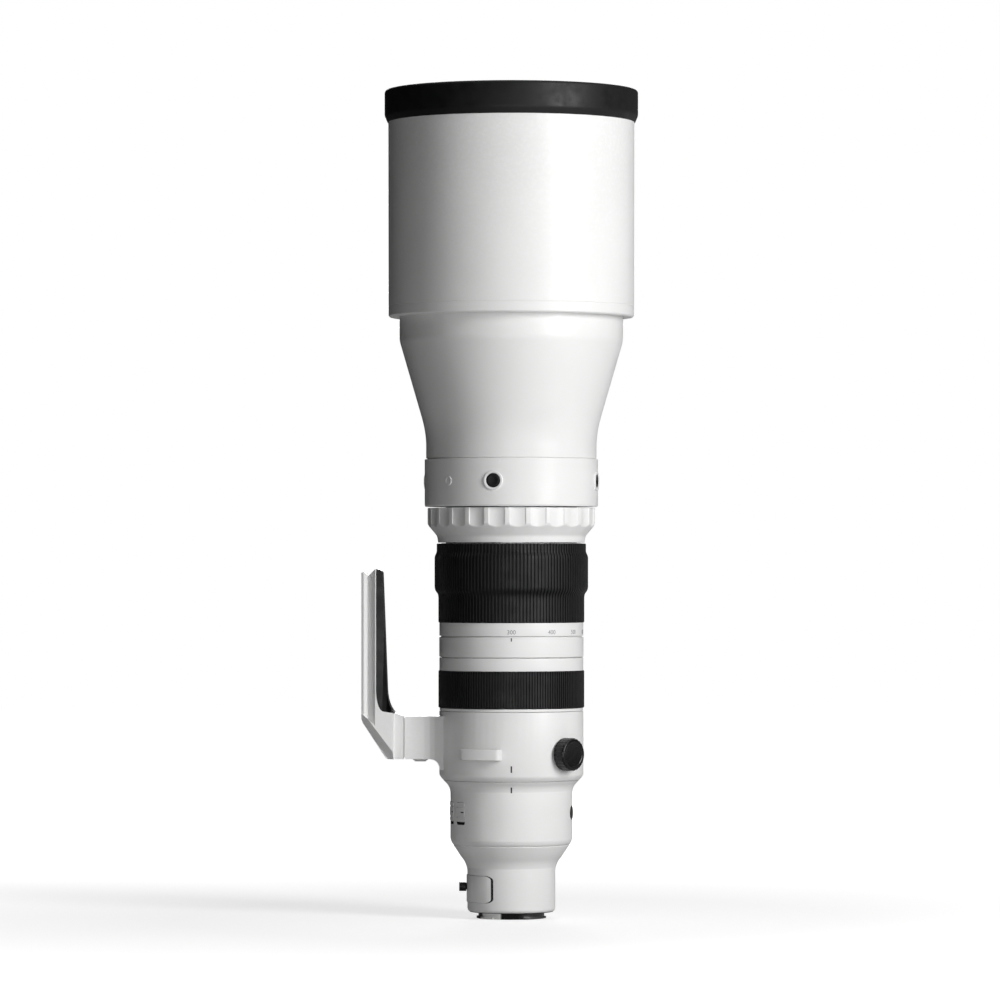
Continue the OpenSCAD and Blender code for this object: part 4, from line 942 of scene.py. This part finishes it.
def make_button_trims(finish):
    """Raised rings round the four hold buttons, and the small plug beside the front one."""
    height = 2.2
    profile = rounded([(BUTTON_HOLE_R, 0, 0), (BUTTON_RIM_R, 0, 0), (BUTTON_RIM_R, height, 0.5),
                       (BUTTON_HOLE_R, height, 0.6)], 5)
    trims = [place(turned_bmesh(profile, turns(96)), side_frame(angle, BUTTON_RIM_REACH, AFL_Z))
             for angle in AFL_ANGLES]
    dish, face = 0.72, 1.1
    profile = rounded([(0, 0, 0), (PLUG_R, 0, 0), (PLUG_R, face, 0.25), (2.1, face, 0.15),
                       (1.9, dish, 0.1), (0, dish, 0)])
    plug = turned_bmesh(profile, turns(SHAFT_STEPS))
    trims.append(place(plug, side_frame(PLUG_ANGLE, PLUG_REACH, AFL_Z)))
    trims = finish_mesh("button_rims", joined(*trims))
    dress(trims, "barrel", "white_paint", finish, "band_trims")


def make_press_buttons(rubber):
    """Domed rubber buttons: four hold buttons on the band, and the custom one on the casing."""
    places = [("hold_dome_%d" % i, angle, BAND_R, AFL_Z, 0.7, "afl_%d" % i, "afl_button_%d" % i)
              for i, angle in enumerate(AFL_ANGLES, 1)]
    places.append(("custom_dome", CUSTOM_ANGLE, BODY_R, SWITCH_Z, 0.5,
                   "function_button", "custom_button"))
    r, root = BUTTON_R, -4
    side = r - 0.05
    for name, angle, reach, z, proud, body, node in places:
        profile = rounded(
            [(0, root, 0), (r - 0.4, root, 0), (side, root + 0.6, 0), (side, proud - 0.7, 0)]
            + curve((r - 0.1, proud - 0.5), (r - 0.2, proud), (r - 1.4, proud), 6)
            + curve((r - 1.9, proud - 0.02), (r - 2.6, proud - 0.25), (0.6, proud - 0.3), 6)
            + [(0, proud - 0.3, 0)])
        dome = place(turned_bmesh(profile, turns(SMALL_STEPS)), side_frame(angle, reach, z))
        dress(finish_mesh(name, dome), body, "rubber", rubber, node)


def make_front_barrel(finish, dark):
    knee = BELL_TOP - 68.5
    flank = (FRONT_R - BELL_R) / (BELL_TOP - knee)
    bend = 2.6
    outer = ([(BELL_R - 1, BAND_TOP, 0), (BELL_R - 1, BAND_TOP + 0.5, 0),
              (BELL_R, BAND_TOP + 0.75, 0.1)]
             + curve((BELL_R, BAND_TOP + 10), (BELL_R, knee), (BELL_R + 12 * flank, knee + 12), 16)
             + curve((FRONT_R - bend * flank, BELL_TOP - bend), (FRONT_R, BELL_TOP),
                     (FRONT_R, BELL_TOP + bend), 8)
             + [(FRONT_R, FRONT_Z - 1, 0.3), (FRONT_R - 1, FRONT_Z, 0.3)])
    inner = [(r - WALL, z, 0) for r, z, _ in reversed(outer[:-2])]
    outline = rounded(outer + [(FRONT_R - WALL, FRONT_Z, 0)] + inner)

    def number(r, z):
        return 1 if z > BELL_TOP and r < FRONT_R - WALL + 0.1 else 0

    barrel = finish_mesh("front_shell", turned_bmesh(outline, material_at=number))
    dress(barrel, "barrel", "white_paint", [finish, dark], "front_barrel")


# Hood
def screw_hole(name):
    hole = prism_bmesh(circle(HOOD_SCREW_HOLE_R), 80, 95)
    return finish_mesh(name, place(hole, side_frame(HOOD_SCREW_ANGLE, 0, HOOD_SCREW_Z)))


def make_hood(finish, dark, rubber):
    seat_r = FRONT_R + 0.3
    inner = HOOD_R - HOOD_WALL
    bore = HOOD_FRONT_R - HOOD_WALL
    stop_r, stop_z, stop_top = FRONT_R - 2.5, 467.7, 469.7
    base = finish_mesh("hood_foot", turned_bmesh(rounded([
        (seat_r, HOOD_Z + 0.8, 0), (seat_r + 0.8, HOOD_Z, 0.2), (HOOD_R - 1.2, HOOD_Z, 0.4),
        (HOOD_R, HOOD_Z + 1.2, 0.4), (HOOD_R, HOOD_SEAM - SEAM_V, 0.1),
        (HOOD_R - SEAM_V, HOOD_SEAM, 0), (inner, HOOD_SEAM, 0), (inner, HOOD_Z + 3, 0),
        (seat_r + 2, HOOD_Z + 3, 0), (seat_r + 2, stop_top, 0.3), (stop_r, stop_top, 0.3),
        (stop_r, stop_z, 0), (seat_r, stop_z, 0)]),
        material_at=lambda r, z: 1 if z > HOOD_Z + 2.9 and r < inner + 0.1 else 0))
    cut(base, [screw_hole("hole_a")])
    dress(base, "hood", "hood_white", [finish, dark], "hood_base")
    # Inside, the shell is black with fine baffle steps that catch stray light
    steps = []
    count = 40
    low, high = HOOD_Z + 12, HOOD_SHELL_TOP - 4
    for k in range(count):
        z = high + (low - high) * k / count
        steps += [(bore, z, 0), (bore - 0.05, z - 0.2, 0),
                  (bore - 0.5, z - (high - low) / count + 0.4, 0)]
    shell = finish_mesh("hood_tube", turned_bmesh(rounded(
        [(HOOD_R - SEAM_V, HOOD_SEAM, 0), (HOOD_R, HOOD_SEAM + SEAM_V, 0.1),
         (HOOD_FRONT_R, HOOD_SHELL_TOP, 0), (bore, HOOD_SHELL_TOP, 0)]
        + steps + [(inner, HOOD_SEAM, 0)]),
        material_at=lambda r, z: 1 if r < inner + 0.5 else 0))
    cut(shell, [screw_hole("hole_b")])
    dress(shell, "hood", "hood_white", [finish, dark], "hood_shell")
    bumper = finish_mesh("hood_rim_rubber", turned_bmesh(rounded(
        [(HOOD_FRONT_R, BUMPER_Z, 0), (HOOD_FRONT_R + 0.6, BUMPER_Z, 0.3),
         (BUMPER_R, BUMPER_Z + 5, 1.2)]
        + curve((BUMPER_R, HOOD_TOP - 2.6), (BUMPER_R, HOOD_TOP), (BUMPER_R - 2.4, HOOD_TOP), 8)
        + curve((bore + 1.6, HOOD_TOP), (bore, HOOD_TOP), (bore, HOOD_TOP - 1.8), 6)
        + [(bore, HOOD_SHELL_TOP, 0), (HOOD_FRONT_R, HOOD_SHELL_TOP, 0)])))
    dress(bumper, "hood", "rubber", rubber, "hood_bumper")


def make_hood_boss(finish):
    hole_r, root, face = HOOD_SCREW_HOLE_R, 90, HOOD_BOSS_FACE
    profile = rounded([(hole_r, root, 0), (HOOD_BOSS_R, root, 0), (HOOD_BOSS_R, face, 0.5),
                       (hole_r, face, 0.2)])
    ring = place(turned_bmesh(profile, turns(72)), side_frame(HOOD_SCREW_ANGLE, 0, HOOD_SCREW_Z))
    dress(finish_mesh("hood_boss", ring), "hood", "hood_white", finish)


# Knobs
def fluted(reach, high, flutes):
    """Knob along local Z: round flutes on its side, a chamfered face with a shallow dish."""
    inner = reach - 3
    chamfer, foot, dish, per = 1.2, 0.5, 0.35, 16
    shoulder = high - chamfer
    profile = rounded([(0, 0, 0), (reach - foot, 0, 0.2), (reach, foot, 0.2)]
                      + [(reach, foot + (shoulder - foot) * k / 10, 0) for k in range(1, 10)]
                      + [(reach, shoulder, 0.4), (reach - chamfer, high, 0.5), (inner, high, 0.3),
                         (inner - 0.5, high - dish, 0.2), (0, high - dish, 0)])
    angles = [360 * (i + k / per) / flutes for i in range(flutes) for k in range(per)]
    # A flute's depth, the share of its half pitch that stays round, and where it runs out
    depth, land, low_end, top_end = 0.35, 0.38, 0.8, high - 0.4

    def flute(angle, r, z):
        if r < reach - 0.9 or z < low_end or z > top_end:
            return r
        side = abs((angle * flutes / 360) % 1 - 0.5) * 2
        if side <= land:
            return r
        across = (1 - side) / (1 - land)
        ends = min(1, (z - low_end) / 0.6, top_end - z)
        return r - depth * max(0, 1 - across ** 2) ** 0.5 * ends

    return turned_bmesh(profile, angles, flute)


def shaft(r, low, high=0.2):
    return turned_bmesh([(0, low), (r, low), (r, high), (0, high)], turns(SHAFT_STEPS))


def make_knobs(black):
    face = COLLAR_R + 0.3
    knob = joined(fluted(KNOB_R, KNOB_FACE - face, 24), shaft(4, -4.9))
    knob = finish_mesh("collar_knob_cap", place(knob, side_frame(KNOB_ANGLE, face, KNOB_Z)))
    dress(knob, "collar_knob", "knob_black", black, "collar_knob")
    face = HOOD_BOSS_FACE + 0.3
    knob = joined(fluted(HOOD_KNOB_R, 9, 18), shaft(3, FRONT_R + 0.3 - face))
    knob = place(knob, side_frame(HOOD_SCREW_ANGLE, face, HOOD_SCREW_Z))
    dress(finish_mesh("hood_screw_cap", knob), "hood_screw", "knob_black", black, "hood_lock_screw")


# Small fittings
def lug_outline(angle):
    """Plan of a strap lug: a bar on two feet, its outer corners drawn round into the collar."""
    # Half the lug's width in degrees, and the reach of its outer and of its inner side
    half, outer, inner = 16, 61, 58.3
    points = []
    for side in (-1, 1):
        steps = [(COLLAR_R, half + 0.4), (COLLAR_R + 1.2, half + 0.25),
                 (COLLAR_R + 2.8, half - 0.1), (outer - 3, half - 0.4)]
        for k in range(9):
            s = k / 8
            steps.append(((outer - 3) * (1 - s) ** 2 + outer * (1 - (1 - s) ** 2),
                          half - 0.4 - 3.2 * s ** 2))
        steps += [(outer, (half - 3.6) * (1 - k / 12)) for k in range(1, 12)]
        points += [polar(r, angle + side * a) for r, a in (steps if side < 0 else reversed(steps))]
        if side < 0:
            points.append(polar(outer, angle))
    for side in (1, -1):
        hollow = [(COLLAR_R, half - 2.6)]
        for k in range(7):
            s = k / 6
            hollow.append((inner - 1.8 * (1 - s) ** 2, half - 2.8 - 1.8 * s ** 2))
        hollow += [(inner, (half - 4.6) * (1 - k / 12)) for k in range(1, 12)]
        points += [polar(r, angle + side * a)
                   for r, a in (hollow if side > 0 else reversed(hollow))]
        if side > 0:
            points.append(polar(inner, angle))
    return points


def make_fittings(finish):
    """The collar's two strap lugs, and the stop stud under its arm."""
    parts = [prism_bmesh(lug_outline(angle), LUG_Z, LUG_Z + LUG_HEIGHT) for angle in LUG_ANGLES]
    stud = rounded([(0, 0, 0), (5.7, 0, 0), (5.7, 1.1, 0.2), (4.4, 1.1, 0), (4.4, 2.1, 0.25),
                    (0, 2.1, 0)])
    downward = Matrix.Translation(STUD_PLACE) @ Matrix.Rotation(math.pi, 4, "X")
    parts.append(place(turned_bmesh(stud, turns(SMALL_STEPS)), downward))
    fittings = finish_mesh("collar_lugs", joined(*parts))
    soften(fittings, 0.9, 3)
    dress(fittings, "collar", "white_paint", finish, "collar_fittings")


def make_switch_ticks(dark):
    """Short line on each slide switch."""
    low, high, half = 0.4, 4.6, 0.45
    outline = [(low, -half), (high, -half), (high, half), (low, half)]
    for i, angle in enumerate(SWITCH_ANGLES, 1):
        tick = place(prism_bmesh(outline, -0.1, 0.05),
                     side_frame(angle, SWITCH_TOP, SWITCH_Z + 0.95))
        dress(finish_mesh("switch_tick_%d" % i, tick), "switch_%d" % i, "knob_black", dark)


# Nodes that stay keep their CAD shape, with eased edges and a finish
def keep_nodes(finishes, dark):
    for node, (finish, edge) in finishes.items():
        obj = NODES[node]
        obj.data.materials.clear()
        obj.data.materials.append(finish)
        for polygon in obj.data.polygons:
            polygon.material_index = 0
        if edge:
            soften(obj, edge)
    # Behind the painted face of its door the filter's holder is dark
    holder = NODES["filter_holder"].data
    holder.materials.append(dark)
    reach = max(math.hypot(vertex.co.x, vertex.co.y) for vertex in holder.vertices)
    for polygon in holder.polygons:
        if math.hypot(polygon.center.x, polygon.center.y) < 0.98 * reach:
            polygon.material_index = 1


def main():
    white = paint("white_paint", (0.78, 0.78, 0.775), 0.36)
    hood_white = paint("hood_white", (0.79, 0.79, 0.785), 0.4, 1100, 0.016)
    switch_white = paint("switch_white", (0.74, 0.74, 0.735), 0.42, 2500, 0.006)
    rubber = moulded_rubber("grip_rubber")
    soft_black = moulded_rubber("soft_black", (0.006, 0.006, 0.0063), 0.4)
    knob_black = gloss_black("knob_black")
    inside_black = moulded_rubber("inside_black", (0.012, 0.012, 0.012), 0.75)
    anodised = turned_metal("black_metal", (0.02, 0.02, 0.021), 0.35, metal=0.35)
    mount_metal = bayonet_metal("mount_metal")
    alloy = turned_metal("alloy", (0.32, 0.33, 0.35), 0.35)
    steel = turned_metal("screw_steel", (0.5, 0.5, 0.51), 0.3, 0.004)
    board = board_green("circuit")
    front_glass = coated_glass("front_glass", (0.93, 0.97, 0.95))
    index_black = ink("index_black", (0.012, 0.012, 0.012))
    scale_grey = ink("scale_grey", (0.16, 0.16, 0.165))

    make_rear_casing(white, inside_black)
    make_body_casing(white, inside_black)
    make_switch_beds(inside_black)
    make_plain_rings(white)
    make_focus_ring(white, rubber)
    make_zoom_ring(white, rubber)
    make_marks(index_black, scale_grey)
    make_function_ring(white)
    make_control_band(white)
    make_button_trims(white)
    make_press_buttons(soft_black)
    make_front_barrel(white, inside_black)
    make_hood(hood_white, inside_black, rubber)
    make_hood_boss(hood_white)
    make_knobs(knob_black)
    make_fittings(white)
    make_switch_ticks(index_black)

    # Finish and edge width in millimetres of each node that is still shown
    finishes = {node: (white, 0) for node, obj in NODES.items() if not obj.hide_render}
    for finish, edge, names in (
            (white, 0.5, "collar_ring foot"),
            (white, 0.2, "filter_holder"),
            (switch_white, 0.25, "switch_slider_1 switch_slider_2 switch_slider_3 switch_slider_4"),
            (soft_black, 0.9, "foot_pad"),
            (soft_black, 0.4, "filter_lock_knob"),
            (mount_metal, 0.15, "mount_plate"),
            (steel, 0, "mount_screws foot_screws"),
            (rubber, 0, "mount_seal"),
            (anodised, 0, "rear_cell front_cell front_ring zoom_carrier_a zoom_carrier_b "
                          "focus_carrier iris_unit stabiliser_holder contact_block"),
            (alloy, 0, "main_tube cam_tube guide_tube focus_unit stabiliser_frame "
                       "stabiliser_slide iris_ring"),
            (board, 0, "circuit_boards"),
            (front_glass, 0, "front_elements rear_elements filter_glass zoom_lens_a zoom_lens_b "
                             "focus_lens stabiliser_lens")):
        for node in names.split():
            if node in finishes:
                finishes[node] = (finish, edge)
    keep_nodes(finishes, inside_black)

    make_floor()
    make_world()
    make_camera()
    for light in LIGHTS:
        area_light(*light)
    bpy.context.scene.view_settings.view_transform = "Standard"


main()
